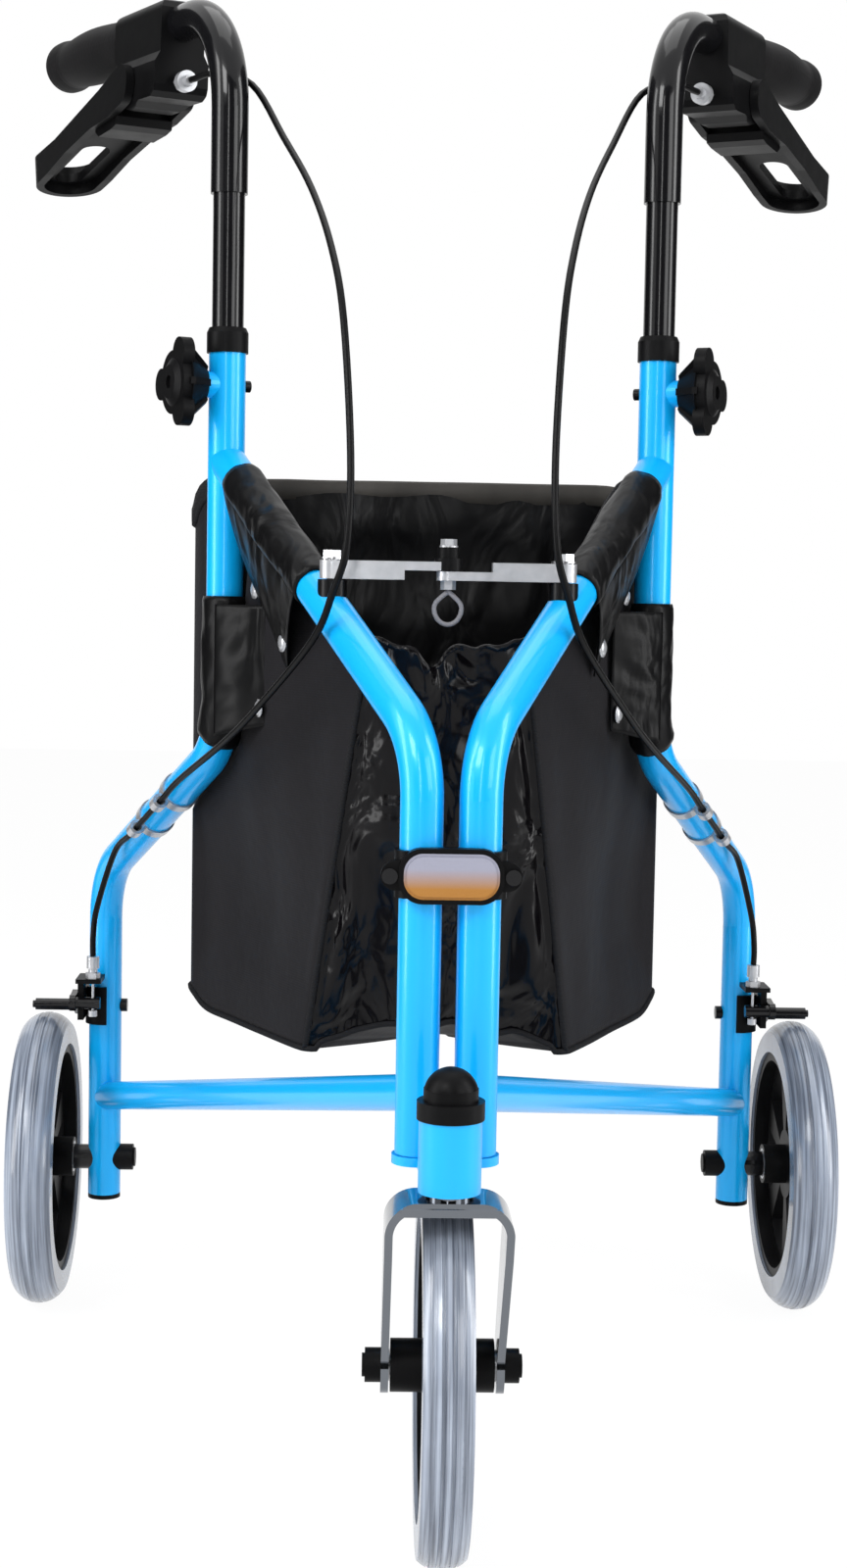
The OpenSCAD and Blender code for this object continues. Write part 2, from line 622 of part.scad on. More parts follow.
module brace_knob() color(black) shift() translate([0, brace_y, bar_z]) difference() {
  union() {
    translate([0, 0, brace_h - tongue_h]) cylinder(d = tongue_w + 2.4, h = tongue_h + 2);
    translate([0, 0, brace_h]) cylinder(d = 12, h = 8);
  }
  translate([0, 0, brace_h - tongue_h - 1]) cylinder(d = tongue_w, h = tongue_h + 1);
  translate([-lap, -tongue_w / 2, brace_h - tongue_h - 1]) cube([lap, tongue_w, tongue_h + 1]);
}
// Webbing pull loop under the middle of the brace
module pull_strap() color(black) shift() translate([0, brace_y, bar_z - 5])
  rotate([90, 0, 0]) translate([0, 0, -4]) linear_extrude(8) difference() {
    union() {
      translate([0, -15]) circle(d = 18);
      translate([-4, -15]) square([8, 15]);
    }
    translate([0, -15]) circle(d = 14);
    translate([-2, -15]) square([4, 12]);
  }

// Caster head: headstock with hinge yoke and pins, cap, reflector and clamp
module headstock() color(paint) shift() difference() {
  union() {
    translate([0, -stem_u, head_bottom]) cylinder(d = head_d, h = head_h);
    translate([0, 0, yoke_z]) linear_extrude(yoke_t) {
      for (s = [-1, 1]) translate([s * hinge_half, 0]) circle(d = tube_d + 3);
      polygon([[-hinge_half, 2 - tube_d / 2], [3 - head_d / 2, 8 - stem_u], [head_d / 2 - 3, 8 - stem_u],
        [hinge_half, 2 - tube_d / 2], [hinge_half, tube_d / 2], [-hinge_half, tube_d / 2]]);
    }
    translate([-2.5, -stem_u, yoke_z]) rotate([90, 0, 90]) linear_extrude(5)
      polygon([[0, 0], [stem_u - 14, 0], [stem_u - 14, 6], [12, head_top - yoke_z - 4],
        [0, head_top - yoke_z - 4]]);
    for (s = [-1, 1]) translate([s * hinge_half, 0, yoke_z])
      cylinder(d = bore_d - 2 * turn_fit, h = yoke_t + pin_h);
  }
  translate([0, -stem_u, 150]) cylinder(d = stem_d + 2 * turn_fit, h = 150);
}
module head_cap() color(black) shift() translate([0, -stem_u, head_top]) rotate_extrude() difference() {
  union() {
    square([head_d / 2 + 1.2, 9]);
    square([head_d / 2 - 2, 15]);
    intersection() {
      translate([0, 12]) circle(r = head_d / 2 - 2);
      square([40, 40]);
    }
  }
  square([12.5, 14]);
  translate([-40, -40]) square([40, 100]);
}
module rounded(w, h, r) {
  square([w - 2 * r, h], center = true);
  square([w, h - 2 * r], center = true);
  for (x = [-1, 1]) for (y = [-1, 1]) translate([x * (w / 2 - r), y * (h / 2 - r)]) circle(r = r);
}
module upright_plate(y, t) translate([0, y + t, clamp_z]) rotate([90, 0, 0]) linear_extrude(t) children();
module reflector_clamp() color(black) shift() difference() {
  union() {
    translate([0, 0, clamp_z - 12]) linear_extrude(24) translate([0, -1]) rounded(2 * hinge_half + 27, 24, 9);
    upright_plate(-16, 7) {
      square([54, 15], center = true);
      for (s = [-1, 1]) translate([s * 28, 0]) circle(d = 15);
    }
    upright_plate(-18, 8) rounded(53, 28, 12);
  }
  for (s = [-1, 1]) translate([s * hinge_half, 0, clamp_z - 30]) cylinder(d = tube_d + 2 * turn_fit, h = 60);
  upright_plate(-30, 14.5) rounded(48, 23, 10);
  for (s = [-1, 1]) translate([s * 31, -30, clamp_z]) rotate([-90, 0, 0]) cylinder(d = 4, h = 40);
}
module reflector_lens() color("Orange") shift() union() {
  upright_plate(-19, 3.5) rounded(48, 23, 10);
  upright_plate(-20.5, 1.5) rounded(45, 20, 8.5);
}
module clamp_screws() color(steel) shift() for (s = [-1, 1])
  translate([s * 31, -19, clamp_z]) rotate([-90, 0, 0]) {
  cylinder(d = 8, h = 3);
  cylinder(d = 4, h = 11);
}

// Caster: stamped fork, stem, axle and axle caps
module fork() color(steel) shift() difference() {
  union() {
    translate([-fork_w / 2 + 8, -stem_u - 18, crown_z - 2]) cube([fork_w - 16, 3, 4]);
    fork_shell();
  }
  translate([0, -stem_u, crown_z - 20]) cylinder(d = stem_d, h = 60);
  xrod(-60, 60, axle_y, wheel_r, axle_d);
}
module fork_shell() intersection() {
    translate([0, axle_y + 60, 0]) rotate([90, 0, 0]) linear_extrude(200) difference() {
      fork_arch(fork_w, crown_top, 16);
      fork_arch(fork_w - 2 * fork_t, crown_z, 12);
    }
    translate([-60, 0, 0]) rotate([90, 0, 90]) linear_extrude(120) {
      translate([axle_y, wheel_r]) circle(d = 28);
      polygon([[axle_y + 9.9, wheel_r + 9.9], [-stem_u + 22, crown_z - 14], [-stem_u + 16, crown_top + 1],
        [-stem_u - 14, crown_top + 1], [-stem_u - 18, crown_top - 4], [-stem_u - 18, crown_z - 10],
        [-stem_u - 10, crown_z - 26], [axle_y - 13, wheel_r + 5], [axle_y - 13, wheel_r - 5]]);
    }
  }
module fork_arch(w, top, r) {
  translate([-w / 2, 0]) square([w, top - r]);
  translate([-w / 2 + r, 0]) square([w - 2 * r, top]);
  for (s = [-1, 1]) translate([s * (w / 2 - r), top - r]) circle(r = r);
}
module stem() color(steel) shift() translate([0, -stem_u, 0]) {
  translate([0, 0, crown_z - 1]) cylinder(d = stem_d, h = head_top + 7 - crown_z);
  translate([0, 0, crown_top]) cylinder(d = stem_d + 8, h = head_bottom - face_gap - crown_top);
  translate([0, 0, head_top + face_gap]) cylinder(d = 22, h = 6, $fn = 6);
}
module front_axle() color(steel) shift() {
  xrod(-fork_w / 2 - 5.5, fork_w / 2 + 5.5, axle_y, wheel_r, axle_d);
  for (s = [0, 1]) mirror([s, 0, 0])
    xrod(front_hub_w / 2 + face_gap, fork_w / 2 - fork_t, axle_y, wheel_r, 16);
}
module axle_caps() color(black) shift() for (s = [0, 1]) mirror([s, 0, 0]) difference() {
  union() {
    xrod(fork_w / 2, fork_w / 2 + 8, axle_y, wheel_r, 17.5);
    xrod(fork_w / 2, fork_w / 2 + 9.5, axle_y, wheel_r, 12);
  }
  xrod(fork_w / 2 - 1, fork_w / 2 + 5.5, axle_y, wheel_r, axle_d);
}
module front_tyre() color("LightSlateGray") shift() at_front_wheel() tyre_shape(front_tyre_w);
module front_rim() color(black) shift() at_front_wheel() rim_shape(front_hub_w, front_tyre_w);
module front_bearings() color(steel) shift() at_front_wheel() bearing_shape(front_hub_w);

// Open topped tote between the side frames
tote_n = sleeve_d / 2 + 0.5;
function tote_y(u) = u * cos(spread) + tote_n * sin(spread);
tote_f0 = tote_y(172);
tote_f1 = tote_y(98);
tote_r = tote_y(348);
tote_t1 = top_z(98) - 6;
module tote_plan(n) polygon([for (p = [[-1, 40], [1, 40], [1, 420], [-1, 420]])
  [p[0] * (hinge_half + p[1] * sin(spread) - n * cos(spread)), p[1] * cos(spread) + n * sin(spread)]]);
module tote() color(black) shift() difference() {
  intersection() {
    linear_extrude(900) tote_plan(tote_n);
    translate([-300, 0, 0]) rotate([90, 0, 90]) linear_extrude(600)
      polygon([[tote_f0, tote_z], [tote_r, tote_z], [tote_r + 4, top_z(250) + 4], [tote_y(252), top_z(250)],
        [tote_f1, tote_t1]]);
  }
  intersection() {
    linear_extrude(900) tote_plan(tote_n + tote_wall);
    translate([-300, 0, 0]) rotate([90, 0, 90]) linear_extrude(600)
      polygon([[tote_f0 + tote_wall, tote_z + tote_wall], [tote_r - tote_wall, tote_z + tote_wall],
        [tote_r + 4 - tote_wall, 700], [tote_f1 + tote_wall, 700], [tote_f1 + tote_wall + 0.5, tote_t1]]);
  }
}

// Painted, black and bright pieces of each side
module shift() translate([0, y0, 0]) children();
module right_front_tube() color(paint) shift() front_tube();
module right_rear_tube() color(paint) shift() rear_tube();
module right_rail() color(paint) shift() rail();
module right_caps() color(black) shift() caps();
module right_axle() color(black) shift() axle();
module right_brake_bracket() color(black) shift() brake_bracket();
module right_brake_arm() color(black) shift() brake_arm();
module right_cable() color(black) shift() cable();
module right_cable_fittings() color(steel) shift() cable_fittings();
module right_sleeves() color(black) shift() sleeves();
module right_bolts() color(steel) shift() bolts();
module right_tyre() color("LightSlateGray") shift() at_wheel() tyre_shape(tyre_w);
module right_rim() color(black) shift() at_wheel() rim_shape(hub_w, tyre_w);
module right_bearings() color(steel) shift() at_wheel() bearing_shape(hub_w);
module right_height_tube() color(black) shift() height_tube();
module right_handlebar() color(black) shift() handlebar();
module right_grip() color(black) shift() grip();
module right_brake_housing() color(black) shift() brake_housing();
module right_adjuster() color(steel) shift() adjuster();
module right_lever() color(black) shift() lever();
module right_knob() color(black) shift() knob();

headstock();
head_cap();
reflector_clamp();
reflector_lens();
clamp_screws();
tote();
fork();
stem();
front_axle();
axle_caps();
front_tyre();
front_rim();
front_bearings();
left() right_front_tube();  // left_front_tube
left() right_rear_tube();  // left_rear_tube
left() right_rail();  // left_rail
left() right_caps();  // left_caps
left() right_axle();  // left_axle
left() right_brake_bracket();  // left_brake_bracket
left() right_brake_arm();  // left_brake_arm
left() right_cable();  // left_cable
left() right_cable_fittings();  // left_cable_fittings
left() right_sleeves();  // left_sleeves
left() right_bolts();  // left_bolts
left() right_tyre();  // left_tyre
left() right_rim();  // left_rim
left() right_bearings();  // left_bearings
left() right_height_tube();  // left_height_tube
left() right_handlebar();  // left_handlebar
left() right_grip();  // left_grip
left() right_brake_housing();  // left_brake_housing
left() right_adjuster();  // left_adjuster
left() right_lever();  // left_lever
left() right_knob();  // left_knob
left_brace();
brace_knob();
right_front_tube();
right_rear_tube();
right_rail();
right_caps();
right_axle();
right_brake_bracket();
right_brake_arm();
right_cable();
right_cable_fittings();
right_sleeves();
right_bolts();
right_tyre();
right_rim();
right_bearings();
right_height_tube();
right_handlebar();
right_grip();
right_brake_housing();
right_adjuster();
right_lever();
right_knob();
right_brace();
pull_strap();
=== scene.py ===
# %% [markdown]
# # A three wheel rollator, dressed for its picture
# The solids of the walking aid come in as a fixed frame: tubes, wheels, fork, handles and brakes are
# already true in shape. This lesson gives each of them its finish, then makes what solids can't: brake
# cables, a vinyl tote with folds, the sleeves that carry it, flaps, snaps, hems and a pull loop.

# %% Load the solids
import math

import bmesh
import bpy
from mathutils import Matrix, Vector, noise


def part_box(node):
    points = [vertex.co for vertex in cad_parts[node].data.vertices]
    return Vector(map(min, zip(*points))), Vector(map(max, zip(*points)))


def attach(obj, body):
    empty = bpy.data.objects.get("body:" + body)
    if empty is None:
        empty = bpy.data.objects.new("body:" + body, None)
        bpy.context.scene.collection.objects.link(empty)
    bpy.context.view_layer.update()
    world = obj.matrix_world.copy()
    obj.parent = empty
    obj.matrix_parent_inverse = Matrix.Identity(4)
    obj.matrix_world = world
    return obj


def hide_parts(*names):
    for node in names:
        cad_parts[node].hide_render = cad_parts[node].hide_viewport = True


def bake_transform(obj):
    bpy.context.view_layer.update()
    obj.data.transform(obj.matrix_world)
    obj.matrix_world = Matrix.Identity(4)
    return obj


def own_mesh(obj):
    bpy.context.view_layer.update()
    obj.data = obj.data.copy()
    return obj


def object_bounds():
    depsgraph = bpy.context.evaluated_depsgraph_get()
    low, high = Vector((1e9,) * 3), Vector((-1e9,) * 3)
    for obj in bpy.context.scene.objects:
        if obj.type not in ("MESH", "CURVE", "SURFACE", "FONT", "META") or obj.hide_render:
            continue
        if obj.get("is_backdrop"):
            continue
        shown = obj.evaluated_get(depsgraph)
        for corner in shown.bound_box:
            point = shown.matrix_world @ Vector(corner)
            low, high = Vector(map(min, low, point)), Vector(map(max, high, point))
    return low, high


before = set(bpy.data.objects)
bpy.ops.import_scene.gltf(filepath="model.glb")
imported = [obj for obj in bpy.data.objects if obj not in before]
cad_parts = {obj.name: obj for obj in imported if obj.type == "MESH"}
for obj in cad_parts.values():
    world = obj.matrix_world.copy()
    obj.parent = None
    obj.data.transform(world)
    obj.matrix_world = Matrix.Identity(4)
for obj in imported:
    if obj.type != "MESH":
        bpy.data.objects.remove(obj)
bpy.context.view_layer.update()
mm = 0.001

# %% [markdown]
# ## Places on a side frame
# Every tube of a side frame lies in one upright plane that stands 25.5 degrees off straight back. A point
# is easier to give in that plane: n outboard, u rearward from the hinge, z up, all in millimetres. The left
# frame mirrors the right one, so one function with a sign serves both. The top tube climbs from the hinge
# to the upright, and below it the upright bends into a run that falls to the rear wheel.

# %% Frame sizes
SIDES = (("left", -1), ("right", 1))
SPREAD = math.radians(25.5)
HINGE = 15.0
SHIFT_Y = -213.92
TOP_Z = 419
TOP_SLOPE = math.tan(math.radians(30))
UPRIGHT_U = 266
REAR_Z = 402
REAR_SLOPE = math.tan(math.radians(26))
BEND_Z = 433.24
BEND_R = 50


def on_frame(sign, n, u, z):
    x = sign * (HINGE + u * math.sin(SPREAD) + n * math.cos(SPREAD))
    y = u * math.cos(SPREAD) - n * math.sin(SPREAD) + SHIFT_Y
    return Vector((x, y, z)) * mm


def top_z(u):
    return TOP_Z + u * TOP_SLOPE


def rear_z(u):
    return REAR_Z - (u - UPRIGHT_U) * REAR_SLOPE


def bend_spot(degrees):
    angle = math.radians(degrees)
    return UPRIGHT_U + BEND_R - BEND_R * math.cos(angle), BEND_Z - BEND_R * math.sin(angle)


def outward_of(sign):
    return (on_frame(sign, 1, 0, 0) - on_frame(sign, 0, 0, 0)).normalized()


print("upright foot, right", on_frame(1, 0, UPRIGHT_U, BEND_Z))

# %% [markdown]
# ## Camera
# The view was worked out from the photograph by fitting a pinhole camera to the wheels and tubes: a little
# to the left of the middle, hip high, pitched down 4.4 degrees and rolled 1 degree. A constraint could aim
# the camera, but it would stay level, so the three directions are worked out here. The lens is a little
# wider than the fitted one, and the picture is moved up by a few pixels, so that the whole front wheel
# shows.

# %% Camera
yaw, pitch, roll = math.radians(1.6665), math.radians(4.4011), math.radians(1.0198)
eye = Vector((-48.41, -1165.99 + SHIFT_Y, 490.15)) * mm
forward = Vector((math.sin(yaw) * math.cos(pitch), math.cos(yaw) * math.cos(pitch), -math.sin(pitch)))
level = Vector((math.cos(yaw), -math.sin(yaw), 0))
upward = level.cross(forward)
right = math.cos(roll) * level + math.sin(roll) * upward
up = -math.sin(roll) * level + math.cos(roll) * upward
camera_data = bpy.data.cameras.new("camera")
camera_data.sensor_fit = "VERTICAL"
camera_data.sensor_height = 36
camera_data.lens = 53.15
camera_data.shift_y = -0.003
camera_data.clip_end = 50
camera = bpy.data.objects.new("camera", camera_data)
bpy.context.collection.objects.link(camera)
turn = Matrix((right, up, -forward)).transposed().to_4x4()
camera.matrix_world = Matrix.Translation(eye) @ turn
bpy.context.scene.camera = camera
print("camera at", tuple(round(v, 3) for v in camera.matrix_world.translation))

# %% [markdown]
# ## Helpers for finishes
# A finish could be drawn by hand in the shader editor, but then nobody could read how it was made. Here a
# colour is written as the hex value that a picture shows, and turned to the linear light that shaders use.
# One function adds a node with its settings and links. Patterns sit in object coordinates, which are
# metres, so each scale is worked out from a real size.


# %% Colour and node helpers
def hex_colour(text):
    channels = [int(text[i:i + 2], 16) / 255 for i in (1, 3, 5)]
    return [c / 12.92 if c <= 0.04045 else ((c + 0.055) / 1.055) ** 2.4 for c in channels] + [1.0]


def wire(tree, node, inputs):
    for name, value in inputs.items():
        if isinstance(value, bpy.types.NodeSocket):
            tree.links.new(value, node.inputs[name])
        else:
            node.inputs[name].default_value = value
    return node


def add(tree, kind, settings, inputs):
    made = tree.nodes.new(kind)
    for name, value in settings.items():
        setattr(made, name, value)
    return wire(tree, made, inputs)


def finish_named(name):
    material = bpy.data.materials.new(name)
    material.use_nodes = True
    tree = material.node_tree
    place = add(tree, "ShaderNodeTexCoord", {}, {}).outputs["Object"]
    return material, tree, tree.nodes["Principled BSDF"], place


def both_sides(*names):
    return [side + "_" + name for side, sign in SIDES for name in names]


def dress(material, *names):
    for name in names:
        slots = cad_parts[name].data.materials
        slots.clear()
        slots.append(material)
    print(material.name, "on", len(names), "nodes")


print("mid grey is", round(hex_colour("#808080")[0], 3), "in linear light")

# %% [markdown]
# ## Blue enamel on steel tube
# The frame is sprayed with a clear sky blue enamel over bright primer. It gives the eye one broad soft
# highlight along each tube and a sharper one from the clear top coat, with a faint orange peel. A flat blue
# would look like plastic, so a little metal lies under a coat, and the tone drifts slightly along a tube.

# %% Blue enamel
blue, tree, shader, place = finish_named("blue_enamel_on_steel")
drift = add(tree, "ShaderNodeTexNoise", {}, {"Vector": place, "Scale": 1 / (60 * mm), "Detail": 2.0})
tone = add(tree, "ShaderNodeMix", {"data_type": "RGBA"},
           {"Factor": drift.outputs["Fac"], "A": hex_colour("#02a3ec"), "B": hex_colour("#06adf4")})
peel = add(tree, "ShaderNodeTexNoise", {}, {"Vector": place, "Scale": 1 / (2.5 * mm), "Detail": 1.0})
bump = add(tree, "ShaderNodeBump", {},
           {"Height": peel.outputs["Fac"], "Strength": 0.02, "Distance": 0.1 * mm})
wire(tree, shader, {"Base Color": tone.outputs["Result"], "Normal": bump.outputs["Normal"], "Metallic": 0.1,
                    "Roughness": 0.34, "Specular IOR Level": 0.25, "Coat Weight": 0.4, "Coat Roughness": 0.1})
dress(blue, "headstock", *both_sides("front_tube", "rear_tube", "rail"))

# %% [markdown]
# ## Gloss black enamel
# The handlebars, inner tubes, rear axles, brake arms and clamp screws are black enamel, so smooth that they
# show the lamps as bright upright lines. Plain black would hide their roundness, so a clear coat keeps
# those lines sharp, while handling has dulled the enamel below it in patches.

# %% Black enamel
black_enamel, tree, shader, place = finish_named("gloss_black_enamel")
peel = add(tree, "ShaderNodeTexNoise", {}, {"Vector": place, "Scale": 1 / (3 * mm), "Detail": 1.0})
bump = add(tree, "ShaderNodeBump", {},
           {"Height": peel.outputs["Fac"], "Strength": 0.03, "Distance": 0.1 * mm})
wear = add(tree, "ShaderNodeTexNoise", {}, {"Vector": place, "Scale": 1 / (25 * mm), "Detail": 3.0})
span = add(tree, "ShaderNodeMapRange", {}, {"Value": wear.outputs["Fac"], "To Min": 0.14, "To Max": 0.26})
wire(tree, shader, {"Base Color": hex_colour("#0d0d0f"), "Normal": bump.outputs["Normal"],
                    "Roughness": span.outputs["Result"], "Specular IOR Level": 0.15, "Coat Weight": 0.35,
                    "Coat Roughness": 0.06})
dress(black_enamel, "clamp_screws", *both_sides("height_tube", "handlebar", "axle", "brake_arm"))

# %% [markdown]
# ## Moulded black plastics
# Caps, knobs, levers, housings and rims are moulded ABS or nylon with a fine spark grain, which gives the
# eye a dull, even black. The grain could be modelled, but it is about 0.4 mm on the real piece, so a bump
# does it. It is drawn at 0.9 mm here, so that it shows in the picture.

# %% Moulded plastic
moulded, tree, shader, place = finish_named("moulded_black_abs")
grain = add(tree, "ShaderNodeTexNoise", {}, {"Vector": place, "Scale": 1 / (0.9 * mm), "Detail": 2.0})
bump = add(tree, "ShaderNodeBump", {},
           {"Height": grain.outputs["Fac"], "Strength": 0.12, "Distance": 0.2 * mm})
patch = add(tree, "ShaderNodeTexNoise", {}, {"Vector": place, "Scale": 1 / (18 * mm), "Detail": 3.0})
span = add(tree, "ShaderNodeMapRange", {}, {"Value": patch.outputs["Fac"], "To Min": 0.34, "To Max": 0.5})
tone = add(tree, "ShaderNodeMix", {"data_type": "RGBA"},
           {"Factor": patch.outputs["Fac"], "A": hex_colour("#070708"), "B": hex_colour("#101011")})
wire(tree, shader, {"Base Color": tone.outputs["Result"], "Normal": bump.outputs["Normal"],
                    "Roughness": span.outputs["Result"], "Specular IOR Level": 0.08})
dress(moulded, "head_cap", "reflector_clamp", "axle_caps", "front_rim", "brace_knob",
      *both_sides("caps", "brake_bracket", "rim", "brake_housing", "lever", "knob"))

# %% [markdown]
# ## Soft rubber grips
# The hand grips are soft thermoplastic rubber: duller than the levers, with a fine pebble that the hand
# feels. The pebble is a Voronoi pattern, whose cells are round like the real ones, where noise would look
# like sand.

# %% Grip rubber
rubber, tree, shader, place = finish_named("pebbled_grip_rubber")
pebble = add(tree, "ShaderNodeTexVoronoi", {}, {"Vector": place, "Scale": 1 / (2.2 * mm)})
bump = add(tree, "ShaderNodeBump", {},
           {"Height": pebble.outputs["Distance"], "Strength": 0.25, "Distance": 0.3 * mm})
dust = add(tree, "ShaderNodeTexNoise", {}, {"Vector": place, "Scale": 1 / (30 * mm), "Detail": 4.0})
tone = add(tree, "ShaderNodeMix", {"data_type": "RGBA"},
           {"Factor": dust.outputs["Fac"], "A": hex_colour("#121213"), "B": hex_colour("#1d1c1d")})
wire(tree, shader, {"Base Color": tone.outputs["Result"], "Normal": bump.outputs["Normal"], "Roughness": 0.62,
                    "Specular IOR Level": 0.12})
dress(rubber, *both_sides("grip"))

# %% [markdown]
# ## Zinc plated steel
# The brace, barrels, bearings and axle are zinc plated: pale, slightly cloudy steel. A perfect metal would
# mirror the dark flags of the room, so it is only partly metallic, and the cloud drives colour and
# roughness.

# %% Zinc
zinc, tree, shader, place = finish_named("zinc_plated_steel")
cloud = add(tree, "ShaderNodeTexNoise", {}, {"Vector": place, "Scale": 1 / (6 * mm), "Detail": 4.0})
span = add(tree, "ShaderNodeMapRange", {}, {"Value": cloud.outputs["Fac"], "To Min": 0.22, "To Max": 0.42})
tone = add(tree, "ShaderNodeMix", {"data_type": "RGBA"},
           {"Factor": cloud.outputs["Fac"], "A": hex_colour("#a6a8ac"), "B": hex_colour("#c2c3c6")})
wire(tree, shader, {"Base Color": tone.outputs["Result"], "Roughness": span.outputs["Result"],
                    "Metallic": 0.6})
dress(zinc, "front_axle", "front_bearings", *both_sides("brace", "cable_fittings", "bearings", "adjuster"))

# %% [markdown]
# ## Bolts
# The brace bolts are bright only above the bars: their spacer, the guide screw and the bracket screw are
# blackened. The solids have them as one node for each side, so one material serves and height picks the
# finish, where splitting the mesh would give two pieces to keep in step.

# %% Bolts
BAR_TOP_Z = 511.5
BAR_TOP_BLEND = 0.3
BRIGHT_TO_Z = 560
bolt, tree, shader, place = finish_named("zinc_bolt_on_black_boss")
axes = add(tree, "ShaderNodeSeparateXYZ", {}, {"Vector": place})
above = add(tree, "ShaderNodeMapRange", {},
            {"Value": axes.outputs["Z"], "From Min": (BAR_TOP_Z - BAR_TOP_BLEND) * mm,
             "From Max": (BAR_TOP_Z + BAR_TOP_BLEND) * mm})
under = add(tree, "ShaderNodeMath", {"operation": "LESS_THAN"}, {0: axes.outputs["Z"], 1: BRIGHT_TO_Z * mm})
plated = add(tree, "ShaderNodeMath", {"operation": "MULTIPLY"},
             {0: above.outputs["Result"], 1: under.outputs["Value"]})
tone = add(tree, "ShaderNodeMix", {"data_type": "RGBA"},
           {"Factor": plated.outputs["Value"], "A": hex_colour("#0d0d0e"), "B": hex_colour("#d4d5d8")})
wire(tree, shader, {"Base Color": tone.outputs["Result"], "Metallic": plated.outputs["Value"],
                    "Roughness": 0.28, "Specular IOR Level": 0.15})
dress(bolt, *both_sides("bolts"))

# %% [markdown]
# ## Polished chrome
# The fork is pressed steel with polished chrome plate, which is nearly a mirror and shows the pale room and
# the dark tyre. An even mirror looks like a hole in the picture, so a slight haze varies its roughness.

# %% Chrome
chrome, tree, shader, place = finish_named("polished_chrome_plate")
haze = add(tree, "ShaderNodeTexNoise", {}, {"Vector": place, "Scale": 1 / (12 * mm), "Detail": 3.0})
span = add(tree, "ShaderNodeMapRange", {}, {"Value": haze.outputs["Fac"], "To Min": 0.05, "To Max": 0.14})
wire(tree, shader, {"Base Color": hex_colour("#74787e"), "Roughness": span.outputs["Result"],
                    "Metallic": 1.0})
dress(chrome, "fork", "stem")

# %% [markdown]
# ## Grey tyres
# The tyres are solid grey polyurethane. Mould lines and scuffs run round the tread as fine uneven streaks,
# 1 to 3 mm apart. They could be painted on an unwrapped tyre, but all three wheels turn about X, so a noise
# that is stretched across Y and Z makes rings by itself: a Mapping node squeezes it to 1.5 mm along X and
# lets it drift over 90 mm round the tread.

# %% Tyre
across, around = 1 / (1.5 * mm), 1 / (90 * mm)
tyre, tree, shader, place = finish_named("grey_polyurethane_tyre")
squeeze = add(tree, "ShaderNodeMapping", {}, {"Vector": place, "Scale": (across, around, around)})
streak = add(tree, "ShaderNodeTexNoise", {},
             {"Vector": squeeze.outputs["Vector"], "Scale": 1.0, "Detail": 3.0})
sharp = add(tree, "ShaderNodeMapRange", {},
            {"Value": streak.outputs["Fac"], "From Min": 0.3, "From Max": 0.7})
bands = add(tree, "ShaderNodeMix", {"data_type": "RGBA"},
            {"Factor": sharp.outputs["Result"], "A": hex_colour("#535a67"), "B": hex_colour("#a2abba")})
scuff = add(tree, "ShaderNodeTexNoise", {}, {"Vector": place, "Scale": 1 / (22 * mm), "Detail": 4.0})
soft = add(tree, "ShaderNodeMapRange", {}, {"Value": scuff.outputs["Fac"], "To Min": 0.82, "To Max": 1.12})
shade = add(tree, "ShaderNodeVectorMath", {"operation": "SCALE"},
            {0: bands.outputs["Result"], "Scale": soft.outputs["Result"]})
bump = add(tree, "ShaderNodeBump", {},
           {"Height": streak.outputs["Fac"], "Strength": 0.4, "Distance": 0.4 * mm})
wire(tree, shader, {"Base Color": shade.outputs["Vector"], "Normal": bump.outputs["Normal"], "Roughness": 0.2,
                    "Specular IOR Level": 0.6})
dress(tyre, "front_tyre", *both_sides("tyre"))

# %% [markdown]
# ## Reflector lens
# The lens is one clear moulding: its upper half mirrors the pale room and its lower half glows amber. Real
# glass and prisms would need many bounces of light for a piece this small, so two colours that meet at half
# height do it, and a bump of prisms 2.5 mm across breaks the reflection.

# %% Lens
LENS_MIDDLE_Z = 352
LENS_BLEND = 5
lens, tree, shader, place = finish_named("prismatic_amber_lens")
axes = add(tree, "ShaderNodeSeparateXYZ", {}, {"Vector": place})
height = add(tree, "ShaderNodeMapRange", {},
             {"Value": axes.outputs["Z"], "From Min": (LENS_MIDDLE_Z - LENS_BLEND) * mm,
              "From Max": (LENS_MIDDLE_Z + LENS_BLEND) * mm})
halves = add(tree, "ShaderNodeMix", {"data_type": "RGBA"},
             {"Factor": height.outputs["Result"], "A": hex_colour("#9d6c30"), "B": hex_colour("#8f909f")})
prisms = add(tree, "ShaderNodeTexVoronoi", {"distance": "CHEBYCHEV"},
             {"Vector": place, "Scale": 1 / (2.5 * mm), "Randomness": 0.0})
bump = add(tree, "ShaderNodeBump", {},
           {"Height": prisms.outputs["Distance"], "Strength": 0.25, "Distance": 0.6 * mm})
wire(tree, shader, {"Base Color": halves.outputs["Result"], "Normal": bump.outputs["Normal"],
                    "Roughness": 0.3, "Specular IOR Level": 0.3})
dress(lens, "reflector_lens")

# %% [markdown]
# ## Coated cloth
# The tote's sides are matt coated cloth with a fine plain weave, which gives the eye a dull black with slow
# waves. The weave's threads are 0.6 mm apart, drawn at 1.4 mm so that they show. Two crossed waves make it,
# and a noise on top stands for the soft dents. Blender's wave texture multiplies its scale by 20, so the
# spacing is worked out by a function.

# %% Coated cloth
WAVE_FACTOR = 20


def wave_scale(apart):
    return 2 * math.pi / (apart * mm) / WAVE_FACTOR


